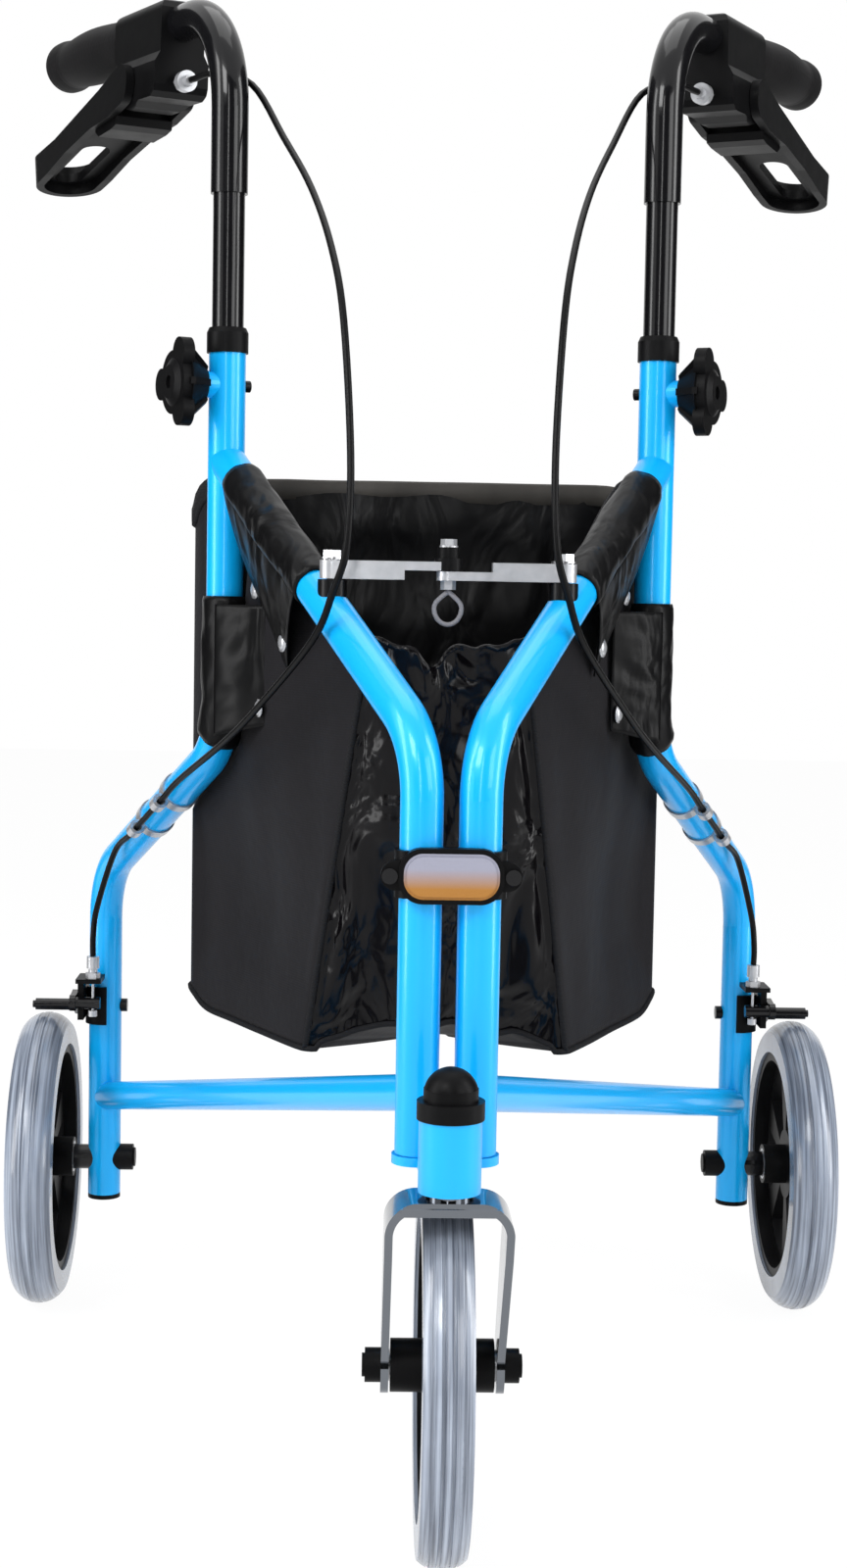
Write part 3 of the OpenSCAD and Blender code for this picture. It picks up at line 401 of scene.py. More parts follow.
matt_vinyl, tree, shader, place = finish_named("matt_coated_cloth")
warp = add(tree, "ShaderNodeTexWave", {"bands_direction": "Z"},
           {"Vector": place, "Scale": wave_scale(1.4), "Distortion": 0.3})
weft = add(tree, "ShaderNodeTexWave", {"bands_direction": "DIAGONAL"},
           {"Vector": place, "Scale": wave_scale(2.4), "Distortion": 0.3})
weave = add(tree, "ShaderNodeMath", {"operation": "ADD"}, {0: warp.outputs["Fac"], 1: weft.outputs["Fac"]})
threads = add(tree, "ShaderNodeBump", {},
              {"Height": weave.outputs["Value"], "Strength": 0.12, "Distance": 0.2 * mm})
folds = add(tree, "ShaderNodeTexNoise", {}, {"Vector": place, "Scale": 1 / (55 * mm), "Detail": 4.0})
dents = add(tree, "ShaderNodeBump", {}, {"Height": folds.outputs["Fac"], "Strength": 0.3, "Distance": 6 * mm,
                                         "Normal": threads.outputs["Normal"]})
tone = add(tree, "ShaderNodeMix", {"data_type": "RGBA"},
           {"Factor": folds.outputs["Fac"], "A": hex_colour("#100f12"), "B": hex_colour("#19181b")})
wire(tree, shader, {"Base Color": tone.outputs["Result"], "Normal": dents.outputs["Normal"],
                    "Roughness": 0.62, "Specular IOR Level": 0.1, "Sheen Weight": 0.03})
print("coated cloth ready")

# %% [markdown]
# ## Creased vinyls
# The tote's front is thin glossy vinyl that creases along its hang. The back, sleeves and flaps are a
# thicker satin vinyl with gentler creases. Ridged noise looks like cracks, so the creases are smooth noise
# that is bent by its own distortion and stretched along the hang. One function makes both.


# %% Creased vinyls
def creased_vinyl(name, base, spec, rough, long, strength):
    material, tree, shader, place = finish_named(name)
    hang = add(tree, "ShaderNodeMapping", {}, {"Vector": place, "Scale": (1.0, 1.0, 0.55)})
    crease = add(tree, "ShaderNodeTexNoise", {}, {"Vector": hang.outputs["Vector"], "Scale": 1 / (long * mm),
                                                  "Detail": 2.5, "Distortion": 1.3})
    bump = add(tree, "ShaderNodeBump", {},
               {"Height": crease.outputs["Fac"], "Strength": strength, "Distance": 12 * mm})
    span = add(tree, "ShaderNodeMapRange", {},
               {"Value": crease.outputs["Fac"], "To Min": rough, "To Max": rough + 0.14})
    wire(tree, shader, {"Base Color": hex_colour(base), "Normal": bump.outputs["Normal"],
                        "Roughness": span.outputs["Result"], "Specular IOR Level": spec})
    return material


gloss_vinyl = creased_vinyl("creased_gloss_vinyl", "#060507", 0.17, 0.15, 44, 1.0)
satin_vinyl = creased_vinyl("soft_satin_vinyl", "#0b0b0c", 0.12, 0.3, 44, 0.45)
print("creased vinyls ready")

# %% [markdown]
# ## Tapes
# The pipings and the sides of the hem are woven black tape, dull and ribbed. Along the back the hem is
# painted paler in patches: painted light where the lamps catch its upper facing. The ribs are a wave 1.6 mm
# apart, because single threads would be too fine to see.

# %% Tapes
webbing, tree, shader, place = finish_named("woven_black_tape")
rib = add(tree, "ShaderNodeTexWave", {"bands_direction": "Z"},
          {"Vector": place, "Scale": wave_scale(1.6), "Distortion": 0.2})
bump = add(tree, "ShaderNodeBump", {},
           {"Height": rib.outputs["Fac"], "Strength": 0.4, "Distance": 0.4 * mm})
wire(tree, shader, {"Base Color": hex_colour("#161618"), "Normal": bump.outputs["Normal"], "Roughness": 0.75,
                    "Specular IOR Level": 0.15})
# Painted light: the back hem's paler patches stand for lamplight falling on its upper facing.
hem_tape, tree, shader, place = finish_named("painted_light_hem_tape")
painted_light_patches = add(tree, "ShaderNodeTexNoise", {}, {"Vector": place, "Scale": 1 / (28 * mm), "Detail": 4.0})
tone = add(tree, "ShaderNodeMix", {"data_type": "RGBA"},
           {"Factor": painted_light_patches.outputs["Fac"], "A": hex_colour("#1a1918"), "B": hex_colour("#45423e")})
wire(tree, shader, {"Base Color": tone.outputs["Result"], "Roughness": 0.6, "Specular IOR Level": 0.2})
print("tapes ready")

# %% [markdown]
# ## Cord and cable jacket
# The pull loop is braided grey cord: a diagonal wave stands for its plait. The brake cables have an
# extruded plastic jacket, black and smooth, which scrapes have dulled in places, so only its roughness
# varies.

# %% Cord and cable jacket
pull_cord, tree, shader, place = finish_named("braided_grey_cord")
braid = add(tree, "ShaderNodeTexWave", {"bands_direction": "DIAGONAL"},
            {"Vector": place, "Scale": wave_scale(1.2), "Distortion": 0.4})
bump = add(tree, "ShaderNodeBump", {},
           {"Height": braid.outputs["Fac"], "Strength": 0.5, "Distance": 0.4 * mm})
wire(tree, shader, {"Base Color": hex_colour("#77767a"), "Normal": bump.outputs["Normal"], "Roughness": 0.7})
jacket, tree, shader, place = finish_named("extruded_cable_jacket")
scrape = add(tree, "ShaderNodeTexNoise", {}, {"Vector": place, "Scale": 1 / (8 * mm), "Detail": 3.0})
span = add(tree, "ShaderNodeMapRange", {}, {"Value": scrape.outputs["Fac"], "To Min": 0.28, "To Max": 0.45})
wire(tree, shader, {"Base Color": hex_colour("#070708"), "Roughness": span.outputs["Result"],
                    "Specular IOR Level": 0.12})
print("cord and jacket ready")

# %% [markdown]
# ## Helpers for shapes
# The soft pieces are built as bmeshes, because each of their points is worked out. One function turns a
# bmesh into an object that rides on a body of the frame. It closes doubles and turns faces outward, because
# mirrored sides can leave a shape inside out. One joins rings of points by faces, one gives a skin its
# thickness, and one sweeps a round tube along a line.

# %% Mesh helpers
WELD = 0.02


def to_piece(name, shape, material, body, smooth=True):
    bmesh.ops.remove_doubles(shape, verts=shape.verts, dist=WELD * mm)
    bmesh.ops.recalc_face_normals(shape, faces=shape.faces)
    mesh = bpy.data.meshes.new(name)
    shape.to_mesh(mesh)
    shape.free()
    piece = bpy.data.objects.new(name, mesh)
    bpy.context.collection.objects.link(piece)
    for item in material if isinstance(material, list) else [material]:
        mesh.materials.append(item)
    for face in mesh.polygons:
        face.use_smooth = smooth
    if body:
        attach(piece, body)
    return piece


def stitch(shape, rings):
    faces = []
    for low, high in zip(rings, rings[1:]):
        for k in range(len(low)):
            faces.append(shape.faces.new((low[k - 1], low[k], high[k], high[k - 1])))
    return faces


def thicken(piece, thick, offset):
    wall = piece.modifiers.new("wall", "SOLIDIFY")
    wall.thickness = thick * mm
    wall.offset = offset


def tube_along(name, points, radius, resolution):
    curve = bpy.data.curves.new(name, "CURVE")
    curve.dimensions = "3D"
    curve.bevel_depth = radius
    curve.bevel_resolution = resolution
    curve.use_fill_caps = True
    spline = curve.splines.new("POLY")
    spline.points.add(len(points) - 1)
    for point, co in zip(spline.points, points):
        point.co = (*co, 1)
    holder = bpy.data.objects.new(name + "_line", curve)
    bpy.context.collection.objects.link(holder)
    shape = bmesh.new()
    mesh = bpy.data.meshes.new_from_object(holder.evaluated_get(bpy.context.evaluated_depsgraph_get()))
    shape.from_mesh(mesh)
    bpy.data.objects.remove(holder)
    bpy.data.meshes.remove(mesh)
    return shape


print("points are welded within", WELD, "mm")

# %% [markdown]
# ## Brake cables
# Each cable leaves the adjuster on the handle, bows inward and forward, crosses the end of the brace, runs
# down under the top tube and along the rear tube in clips, and drops into the barrel of its brake. It
# repeats the route of the solid, as a round tube along a smooth curve, turned to a mesh.

# %% Cables
CABLE_D = 4.0
ROUTE_STEPS = 6
ROUTE = [(0, 329.98, 809.0), (-0.4, 324.98, 808.7), (-6, 307.98, 809.0), (-18, 276, 798), (-21, 234, 760),
         (-14, 178, 722), (-5, 130, 682), (2, 98, 639.52), (8, 74, 567.52), (13, 66, 519.52),
         (16, 76, 494.52), (17, 100, 467.66), (17, 174, 428), (17, 222, 406)]
ROUTE += [(15, u, rear_z(u) - 8) for u in (299.6, 329, 358.4, 387.8, 417.2)]
ROUTE += [(17.15, 445.46, 280), (19.15, 447.46, 260), (19.15, 447.46, 246.3)]


def smooth_route(points, steps):
    line = []
    last = len(points) - 1
    for i in range(last):
        a, b, c, d = (Vector(points[max(0, min(last, k))]) for k in (i - 1, i, i + 1, i + 2))
        for k in range(steps):
            t = k / steps
            line.append(0.5 * (2 * b + (c - a) * t + (2 * a - 5 * b + 4 * c - d) * t * t
                               + (3 * b - a - 3 * c + d) * t ** 3))
    return line + [Vector(points[last])]


for side, sign in SIDES:
    line = [on_frame(sign, *p) for p in smooth_route(ROUTE, ROUTE_STEPS)]
    cable_shape = tube_along(side + "_cable", line, CABLE_D / 2 * mm, 4)
    cable = to_piece(side + "_brake_cable", cable_shape, jacket, None)
    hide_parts(side + "_cable")
    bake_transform(cable)

# %% [markdown]
# ## Tote outline
# The bag hangs between the side frames: two matt side panels, a slack glossy front, a rear panel with a
# hem, and a floor. Five plates would look like a box, so it is one lofted shell. Each level is a trapezium
# with rounded corners, t is 0 at the floor and 1 at the rim, and share runs along each panel. The front
# leans forward as it rises, the rim climbs with the top tubes, and the rear corners hang a little to the
# left.

# %% Tote outline
LEFT, FRONT, RIGHT, BACK = range(4)
FLOOR_Z = 230.0
BAG_N = -14.6
BAG_REAR_U = 349
BAG_FRONT_U = 174
FRONT_LEAN = 76
RIM_Z = 470
RIM_RISE = 94
RIM_FRONT_Y = 94.5
RIM_SPAN_Y = 137.2
ROWS = 64
EDGE_STEPS = (36, 50, 36, 40)
CORNER_STEPS = 6
CORNER_R = (13, 7, 7, 13)


def rim_z(y):
    share = max(0.0, min(1.0, (y - RIM_FRONT_Y) / RIM_SPAN_Y))
    return RIM_Z + RIM_RISE * share


def corners_at(t):
    front_u = BAG_FRONT_U - FRONT_LEAN * t
    spots = []
    for sign, u, aside in ((-1, BAG_REAR_U, -5), (-1, front_u, 0), (1, front_u, 0), (1, BAG_REAR_U, -3)):
        p = on_frame(sign, BAG_N, u, 0) / mm
        spots.append(Vector((p.x + aside, p.y)))
    return spots


def loop_at(t):
    spots = corners_at(t)
    loop = []
    for i in range(4):
        a, b, after = spots[i], spots[(i + 1) % 4], spots[(i + 2) % 4]
        along = (b - a).normalized()
        start, end = a + along * CORNER_R[i], b - along * CORNER_R[(i + 1) % 4]
        for k in range(EDGE_STEPS[i]):
            loop.append((start.lerp(end, k / EDGE_STEPS[i]), i, k / EDGE_STEPS[i]))
        leave = b + (after - b).normalized() * CORNER_R[(i + 1) % 4]
        for k in range(CORNER_STEPS):
            s = k / CORNER_STEPS
            bend = end * (1 - s) ** 2 + b * 2 * s * (1 - s) + leave * s * s
            loop.append((bend, i if s < 0.5 else (i + 1) % 4, 1.0 if s < 0.5 else 0.0))
    return loop


PANEL_OF = [panel for p, panel, share in loop_at(0)]
COLUMNS = len(PANEL_OF)
print("tote columns", COLUMNS)

# %% [markdown]
# ## Tote creases
# A cloth simulation could crease the bag, but its folds fall where they like. So the creases come from
# noise that is stretched along the hang of the cloth. Each term is a height in millimetres times a noise
# whose divisors are the width and length of a fold. The front gets the deepest ones, because it is the
# loosest panel, the sides belly out low down, and every panel keeps its edges, where seams hold it.


# %% Tote creases
def crumple(p, panel, share, t):
    hold = math.sin(math.pi * share) ** 0.6 if 0 < share < 1 else 0.0
    if panel == FRONT:
        sway = 14 * noise.noise(Vector((0.4, p.x / 120, p.z / 70)))
        ridge = 1 - 2.2 * abs(noise.noise(Vector(((p.x + sway) / 30, 1.7, p.z / 120))))
        cross = noise.noise(Vector((p.x / 50, 5.2, (p.z + 0.5 * p.x) / 30)))
        fine = noise.noise(Vector((p.x / 11, 3.0, p.z / 26)))
        sink = -20 * (0.45 + 0.55 * math.sin(math.pi * min(1, t * 1.1)) ** 0.7)
        return hold * (sink + 8 * ridge + 11 * cross * t + 1.6 * fine)
    if panel == BACK:
        deep = 1 - 2 * abs(noise.noise(Vector((p.x / 45, 7.0, p.z / 60))))
        return hold * (3 * math.sin(math.pi * t) + 5 * deep * t)
    low = math.exp(-((t - 0.22) / 0.2) ** 2)
    rear = (1 - share) if panel == LEFT else share
    soft = noise.noise(Vector((p.x / 70, p.y / 45, p.z / 130)))
    return hold ** 0.5 * (9 * low * rear - 2.5 * (1 - low) + 3.2 * soft)


print("front sinks by", round(-crumple(Vector((0, 0, 350)), FRONT, 0.5, 0.5), 1), "mm in its middle")

# %% [markdown]
# ## Dents where the tote meets the tubes
# The bag lies against the tubes, so plain panels would pass through them. Cutting them would leave holes,
# so the cloth is dented: each spot is turned back into the side frame's own directions, and moved inboard
# until it clears the tube's axis by the tube's radius and a little more.

# %% Dents
TUBE_ROOM = 14.0
TOP_TUBE_U = 40
UPRIGHT_TOP_Z = 640
LEG_U = 448
TOP_AXIS = [(u, top_z(u)) for u in (TOP_TUBE_U, UPRIGHT_U)]
UPRIGHT_AXIS = [(UPRIGHT_U, UPRIGHT_TOP_Z), (UPRIGHT_U, BEND_Z)]
BEND_AXIS = [bend_spot(8 * k) for k in range(1, 9)]
TUBES = [TOP_AXIS, UPRIGHT_AXIS + BEND_AXIS + [(LEG_U, rear_z(LEG_U))]]


def clear_of_tubes(spot, room):
    sign = -1 if spot.x < 0 else 1
    across, back = sign * spot.x - HINGE, spot.y - SHIFT_Y
    u = across * math.sin(SPREAD) + back * math.cos(SPREAD)
    n = across * math.cos(SPREAD) - back * math.sin(SPREAD)
    here = Vector((u, spot.z))
    for axis in TUBES:
        for a, b in zip(axis, axis[1:]):
            a, b = Vector(a), Vector(b)
            share = max(0.0, min(1.0, (here - a).dot(b - a) / (b - a).length_squared))
            off = (here - a.lerp(b, share)).length
            if off < room:
                n = min(n, -math.sqrt(room * room - off * off))
    return on_frame(sign, n, u, spot.z)


print("dent test", clear_of_tubes(Vector((-110, 15, 480)), TUBE_ROOM))

# %% [markdown]
# ## Tote levels
# The sleeves pull the rear corners: the rim dips there and the floor lifts. The front's edges are slack, so
# its rim sags in small waves and its foot rides up. Each level of the shell lies between foot and rim, and
# its spots are moved along the outline's own outward direction by the creases.


# %% Tote levels
def rear_pull(p, ends, amount, reach):
    near = min((p - ends[0]).length, (p - ends[3]).length)
    return amount * math.exp(-(near / reach) ** 2)


def rim_heights():
    heights = []
    ends = corners_at(1)
    for p, panel, share in loop_at(1):
        sag = 0
        if panel == FRONT:
            sag = math.sin(math.pi * share) * (8 + 16 * noise.noise(Vector((p.x / 17, 8.1, 0))))
        heights.append(rim_z(p.y - SHIFT_Y) - sag - rear_pull(p, ends, 22, 20))
    return heights


def tote_ring(shape, t, heights):
    loop, ends = loop_at(t), corners_at(t)
    ring = []
    for k, (p, panel, share) in enumerate(loop):
        ahead, behind = loop[(k + 1) % COLUMNS][0], loop[k - 1][0]
        out = Vector((behind.y - ahead.y, ahead.x - behind.x)).normalized()
        foot = FLOOR_Z + rear_pull(p, ends, 12, 22)
        if panel == FRONT:
            ripple = 1 + 0.4 * noise.noise(Vector((p.x / 22, 0.3, 0)))
            foot += 15 * math.sin(math.pi * share) ** 0.5 * ripple
        z = foot + (heights[k] - foot) * t
        spot = p + out * crumple(Vector((p.x, p.y, z)), panel, share, t) * min(1.0, 5 * t + 0.3)
        spot = Vector((spot.x, spot.y, z))
        beside_tubes = panel in (LEFT, RIGHT)
        ring.append(shape.verts.new(clear_of_tubes(spot, TUBE_ROOM) if beside_tubes else spot * mm))
    return ring


print("rim from", round(min(rim_heights())), "to", round(max(rim_heights())), "mm")

# %% [markdown]
# ## Tote shell
# The levels are joined into walls, and smaller and smaller rings close the floor, which sags a little. Each
# panel takes its own vinyl, and a Solidify modifier gives the wall its thickness.

# %% Tote shell
WALL_FINISH = {LEFT: 0, FRONT: 1, RIGHT: 0, BACK: 2}
WALL = 1.6
FLOOR_RINGS = 7
FLOOR_SAG = 4


def tote_floor(shape, edge):
    middle = Vector((0, sum(v.co.y for v in edge) / COLUMNS, FLOOR_Z * mm))
    outer = edge
    for step in range(1, FLOOR_RINGS):
        ring = []
        for v in edge:
            spot = middle.lerp(v.co, 1 - step / FLOOR_RINGS)
            spot.z -= FLOOR_SAG * math.sin(math.pi / 2 * step / FLOOR_RINGS) * mm
            ring.append(shape.verts.new(spot))
        stitch(shape, [ring, outer])
        outer = ring
    shape.faces.new(outer[::-1])


def tote_shell():
    shape = bmesh.new()
    heights = rim_heights()
    rings = [tote_ring(shape, row / ROWS, heights) for row in range(ROWS + 1)]
    for k, face in enumerate(stitch(shape, rings)):
        face.material_index = WALL_FINISH[PANEL_OF[k % COLUMNS - 1]]
    tote_floor(shape, rings[0])
    return shape


def narrow_with_fold(piece):
    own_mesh(piece)


tote = to_piece("tote_shell", tote_shell(), [matt_vinyl, gloss_vinyl, satin_vinyl], "head")
thicken(tote, WALL, -1)
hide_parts("tote")
narrow_with_fold(tote)
print("tote faces", len(tote.data.polygons))

# %% [markdown]
# ## Hem
# The sides and back of the rim are bound by a folded tape, with paler patches of painted light at the back,
# where the lamps catch its upper facing. It could be a tube, but tape is flat, so rings of a rounded oblong
# follow the top row of the shell. The tape droops unevenly on its lower edge and tapers to nothing at both
# ends, beside the front.

# %% Hem
TAPE_SIDES = 8
TAPE_TAPER = 12
TAPE_HALF_H = 7
TAPE_HALF_W = 2.5
TAPE_DROP = 5
DROOP_LONG = 0.045
shell_co = [v.co.copy() for v in tote.data.vertices]


def shell_point(row, column):
    return shell_co[row * COLUMNS + column % COLUMNS]


def flat_tape(points, half_h, half_w):
    shape = bmesh.new()
    rings = []
    count = len(points)
    for k, p in enumerate(points):
        along = (points[min(count - 1, k + 1)] - points[max(0, k - 1)]).normalized()
        side = along.cross(Vector((0, 0, 1))).normalized()
        rise = side.cross(along).normalized()
        ring = []
        end = min(1.0, (k + 2) / TAPE_TAPER, (count - k + 1) / TAPE_TAPER)
        droop = 1 + 0.5 * noise.noise(Vector((p.x / DROOP_LONG, p.y / DROOP_LONG, 2.2)))
        for a in range(TAPE_SIDES):
            angle = 2 * math.pi * a / TAPE_SIDES
            c, s = (math.copysign(abs(v) ** 0.6, v) for v in (math.cos(angle), math.sin(angle)))
            tall = half_h * end * (droop if s < 0 else 1)
            ring.append(shape.verts.new(p + side * c * half_w + rise * s * tall))
        rings.append(ring)
    stitch(shape, rings)
    shape.faces.new(rings[0])
    shape.faces.new(rings[-1][::-1])
    return shape


first = sum(EDGE_STEPS[:2]) + 2 * CORNER_STEPS
rim_spots = [k % COLUMNS for k in range(first, first + COLUMNS - EDGE_STEPS[1] - 2 * CORNER_STEPS)]
rim_line = [shell_point(ROWS, k) - Vector((0, 0, TAPE_DROP * mm)) for k in rim_spots]
hem_shape = flat_tape(rim_line, TAPE_HALF_H * mm, TAPE_HALF_W * mm)
hem_shape.faces.ensure_lookup_table()
# The back faces take the tape with painted light; the sides keep the plain woven tape.
for step, k in enumerate(rim_spots[:-1]):
    for face in hem_shape.faces[TAPE_SIDES * step:TAPE_SIDES * (step + 1)]:
        face.material_index = 1 if PANEL_OF[k] == BACK else 0
hem = to_piece("tote_hem", hem_shape, [webbing, hem_tape], "head")
narrow_with_fold(hem)
print("hem of", len(rim_spots), "rings")

# %% [markdown]
# ## Piping
# A round piping is sewn into the seams between the side panels and the front, and round the floor. It
# follows columns and the lowest row of the shell, so it is a tube along the same spots.

# %% Piping
PIPING_R = 2.0
front_left = EDGE_STEPS[0] + CORNER_STEPS // 2
front_right = EDGE_STEPS[0] + CORNER_STEPS + EDGE_STEPS[1] + CORNER_STEPS // 2
seams = {"left_piping": [shell_point(row, front_left) for row in range(ROWS)],
         "right_piping": [shell_point(row, front_right) for row in range(ROWS)],
         "base_piping": [shell_point(0, column) for column in range(COLUMNS + 1)]}
for name, line in seams.items():
    piping = to_piece(name, tube_along(name, line, PIPING_R * mm, 2), webbing, "head")
    narrow_with_fold(piping)
print("pipings", len(seams))

# %% [markdown]
# ## Sleeves
# Vinyl sleeves wrap the top tube and the bend below the upright and carry the tote. A smooth pipe would
# look like foam, so each is a tube of thin vinyl that creases round the steel: rings of a circle follow the
# tube's line, and each is pushed outward by noise. The lower sleeve is gathered, so it is wider than it is
# deep.

# %% Sleeves
SLEEVE_SIDES = 40
SLEEVE_R = 12.4
GATHERED_R = 15.5
SLEEVE_WALL = 0.9
LIP = 0.7
TOP_SLEEVE_U = 134
TOP_SLEEVE_LONG = 108
TOP_SLEEVE_STEPS = 30
UPRIGHT_SLEEVE_Z = 491
UPRIGHT_SLEEVE_LONG = 58
UPRIGHT_SLEEVE_STEPS = 20
BEND_STEP = 3.3
BEND_STEPS = 10


def creased_sleeve(points, outward, wide, deep, fold, seed):
    shape = bmesh.new()
    rings = []
    count = len(points)
    for k, p in enumerate(points):
        along = (points[min(count - 1, k + 1)] - points[max(0, k - 1)]).normalized()
        side = along.cross(outward).normalized()
        lip = LIP if k in (0, count - 1) else 0.0
        ring = []
        for a in range(SLEEVE_SIDES):
            angle = 2 * math.pi * a / SLEEVE_SIDES
            c, s = math.cos(angle), math.sin(angle)
            q = Vector((c * 0.9, s * 0.9, k / count * 3 + seed))
            puff = fold * (0.7 * abs(noise.noise(q)) + 0.3 * abs(noise.noise(q * 2.1)))
            reach = side * c * (wide + puff - lip) + outward * s * (deep + puff - lip)
            ring.append(shape.verts.new(p + reach * mm))
        rings.append(ring)
    stitch(shape, rings)
    return shape


def top_line(sign):
    stops = [TOP_SLEEVE_U + TOP_SLEEVE_LONG * k / TOP_SLEEVE_STEPS for k in range(TOP_SLEEVE_STEPS + 1)]
    return [on_frame(sign, 0, u, top_z(u)) for u in stops]


def upright_line(sign):
    spots = []
    for k in range(UPRIGHT_SLEEVE_STEPS + 1):
        spots.append((UPRIGHT_U, UPRIGHT_SLEEVE_Z - UPRIGHT_SLEEVE_LONG * k / UPRIGHT_SLEEVE_STEPS))
    spots += [bend_spot(BEND_STEP * k) for k in range(1, BEND_STEPS + 1)]
    return [on_frame(sign, 0, u, z) for u, z in spots]


for side, sign in SIDES:
    outward = outward_of(sign)
    top_shape = creased_sleeve(top_line(sign), outward, SLEEVE_R, SLEEVE_R, 2.6, 3.0 + sign)
    top = to_piece(side + "_top_sleeve", top_shape, satin_vinyl, side + "_frame")
    low_shape = creased_sleeve(upright_line(sign), outward, GATHERED_R, SLEEVE_R, 2.4, 9.0 + sign)
    low = to_piece(side + "_upright_sleeve", low_shape, satin_vinyl, side + "_frame")
    for piece in (top, low):
        thicken(piece, SLEEVE_WALL, -1)
    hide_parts(side + "_sleeves")
print("sleeves made")

# %% [markdown]
# ## Flaps
# A flap of the same vinyl goes on from each sleeve to the side of the tote, where snaps hold it. Each is a
# grid whose spots are placed by a function: s runs along the sleeve and v from the sleeve down to the tote,
# both from 0 to 1. The top flap's front edge slants rearward, and noise lifts the loose middle in small
# folds.

# %% Flaps
FLAP_U = 137
FLAP_LONG = 106
FLAP_DROP = 59
FLAP_SLANT = 57
FLAP_RISE = 13
FLAP_WALL = 1.0
FLAP_GRID = (30, 20)
FLAP_FOLD = 3


def top_flap_spot(s, v):
    u = FLAP_U + FLAP_LONG * s
    z = top_z(u) - 4 - FLAP_DROP * v + FLAP_RISE * v * (1 - s)
    return 11 - 21.6 * v ** 1.3, u + FLAP_SLANT * v * (1 - s), z


def upright_flap_spot(s, v):
    return 10 - 20.8 * v ** 1.2, 256 - 31 * v, 486 - (79 - 8 * v) * s


def flap_sheet(sign, spot_of, seed):
    shape = bmesh.new()
    bmesh.ops.create_grid(shape, x_segments=FLAP_GRID[0], y_segments=FLAP_GRID[1], size=0.5)
    for vert in shape.verts:
        s, v = vert.co.x + 0.5, vert.co.y + 0.5
        n, u, z = spot_of(s, v)
        loose = 0.0
        if 0 < s < 1 and 0 < v < 1:
            loose = math.sin(math.pi * s) ** 0.5 * math.sin(math.pi * min(1, v * 1.02))
        n += loose * FLAP_FOLD * (1 - 2 * abs(noise.noise(Vector((s * 5 + 0.6 * v, v * 0.8, seed)))))
        vert.co = on_frame(sign, n, u, z)
    return shape


for side, sign in SIDES:
    for name, spot_of in (("top_flap", top_flap_spot), ("upright_flap", upright_flap_spot)):
        flap_shape = flap_sheet(sign, spot_of, 4.0 + sign)
        flap = to_piece("%s_%s" % (side, name), flap_shape, satin_vinyl, side + "_frame")
        thicken(flap, FLAP_WALL, 0)

# %% [markdown]
# ## Snaps
# Pressed snaps of plated steel hold the flaps on the tote. Each is a flattened half sphere on a thin round
# flange, turned to face outboard. A flap's own function gives its place, so a snap stays on the flap when
# the flap changes.

# %% Snaps
SNAPS = ((top_flap_spot, 0.81, 0.86), (top_flap_spot, 0.06, 0.7), (upright_flap_spot, 0.85, 0.9))
DOME_R = 4.6
DOME_FLATNESS = 0.45
FLANGE_R = 5.4
FLANGE_H = 0.8
SNAP_OUT = 1.6


def snap_dome(sign, n, u, z):
    shape = bmesh.new()
    bmesh.ops.create_uvsphere(shape, u_segments=20, v_segments=10, radius=DOME_R * mm)
    bmesh.ops.bisect_plane(shape, geom=shape.verts[:] + shape.edges[:] + shape.faces[:], plane_co=(0, 0, 0),
                           plane_no=(0, 0, 1), clear_inner=True)
    bmesh.ops.scale(shape, vec=(1, 1, DOME_FLATNESS), verts=shape.verts)
    bmesh.ops.create_cone(shape, cap_ends=True, segments=24, radius1=FLANGE_R * mm, radius2=FLANGE_R * mm,
                          depth=FLANGE_H * mm)
    turn_to = Vector((0, 0, 1)).rotation_difference(outward_of(sign)).to_matrix().to_4x4()
    stand = Matrix.Translation(on_frame(sign, n, u, z)) @ turn_to
    bmesh.ops.transform(shape, matrix=stand, verts=shape.verts)
    return shape


for side, sign in SIDES:
    for k, (spot_of, s, v) in enumerate(SNAPS):
        n, u, z = spot_of(s, v)
        snap = to_piece("%s_snap_%d" % (side, k), snap_dome(sign, n + SNAP_OUT, u, z), zinc, side + "_frame")
print("snaps made")

# %% [markdown]
# ## Pull loop
# A loop of braided grey cord hangs under the middle of the brace: pulling it up breaks the brace and folds
# the frame. A closed curve with a bevel could draw it, but it may twist where it closes, so rings of points
# are joined into a closed ring along a drop shaped line.

# %% Pull loop
LOOP_STEPS = 40
LOOP_HALF_W = 7.5
LOOP_HALF_H = 9
LOOP_LIFT = 2
CORD_R = 1.3
CORD_SIDES = 10
low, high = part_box("pull_strap")
middle = (low + high) / 2
loop_line = []
for k in range(LOOP_STEPS):
    angle = math.pi / 2 + 2 * math.pi * k / LOOP_STEPS
    width = LOOP_HALF_W * mm * (1 - 0.8 * max(0, math.sin(angle)) ** 2)
    x = middle.x + width * math.cos(angle)
    loop_line.append(Vector((x, middle.y, middle.z + LOOP_LIFT * mm + LOOP_HALF_H * mm * math.sin(angle))))


def cord_ring(points, radius):
    shape = bmesh.new()
    count = len(points)
    circle = bmesh.ops.create_circle(shape, segments=CORD_SIDES, radius=radius)["verts"]
    rings = []
    for k, p in enumerate(points):
        along = (points[(k + 1) % count] - points[k - 1]).normalized()
        out = along.cross(Vector((0, 1, 0)))
        rings.append([shape.verts.new(p + Vector((0, v.co.x, 0)) + out * v.co.y) for v in circle])
    bmesh.ops.delete(shape, geom=circle, context="VERTS")
    stitch(shape, rings + rings[:1])
    return shape


strap = to_piece("pull_loop", cord_ring(loop_line, CORD_R * mm), pull_cord, "right_bar")
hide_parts("pull_strap")
print("pull loop made")

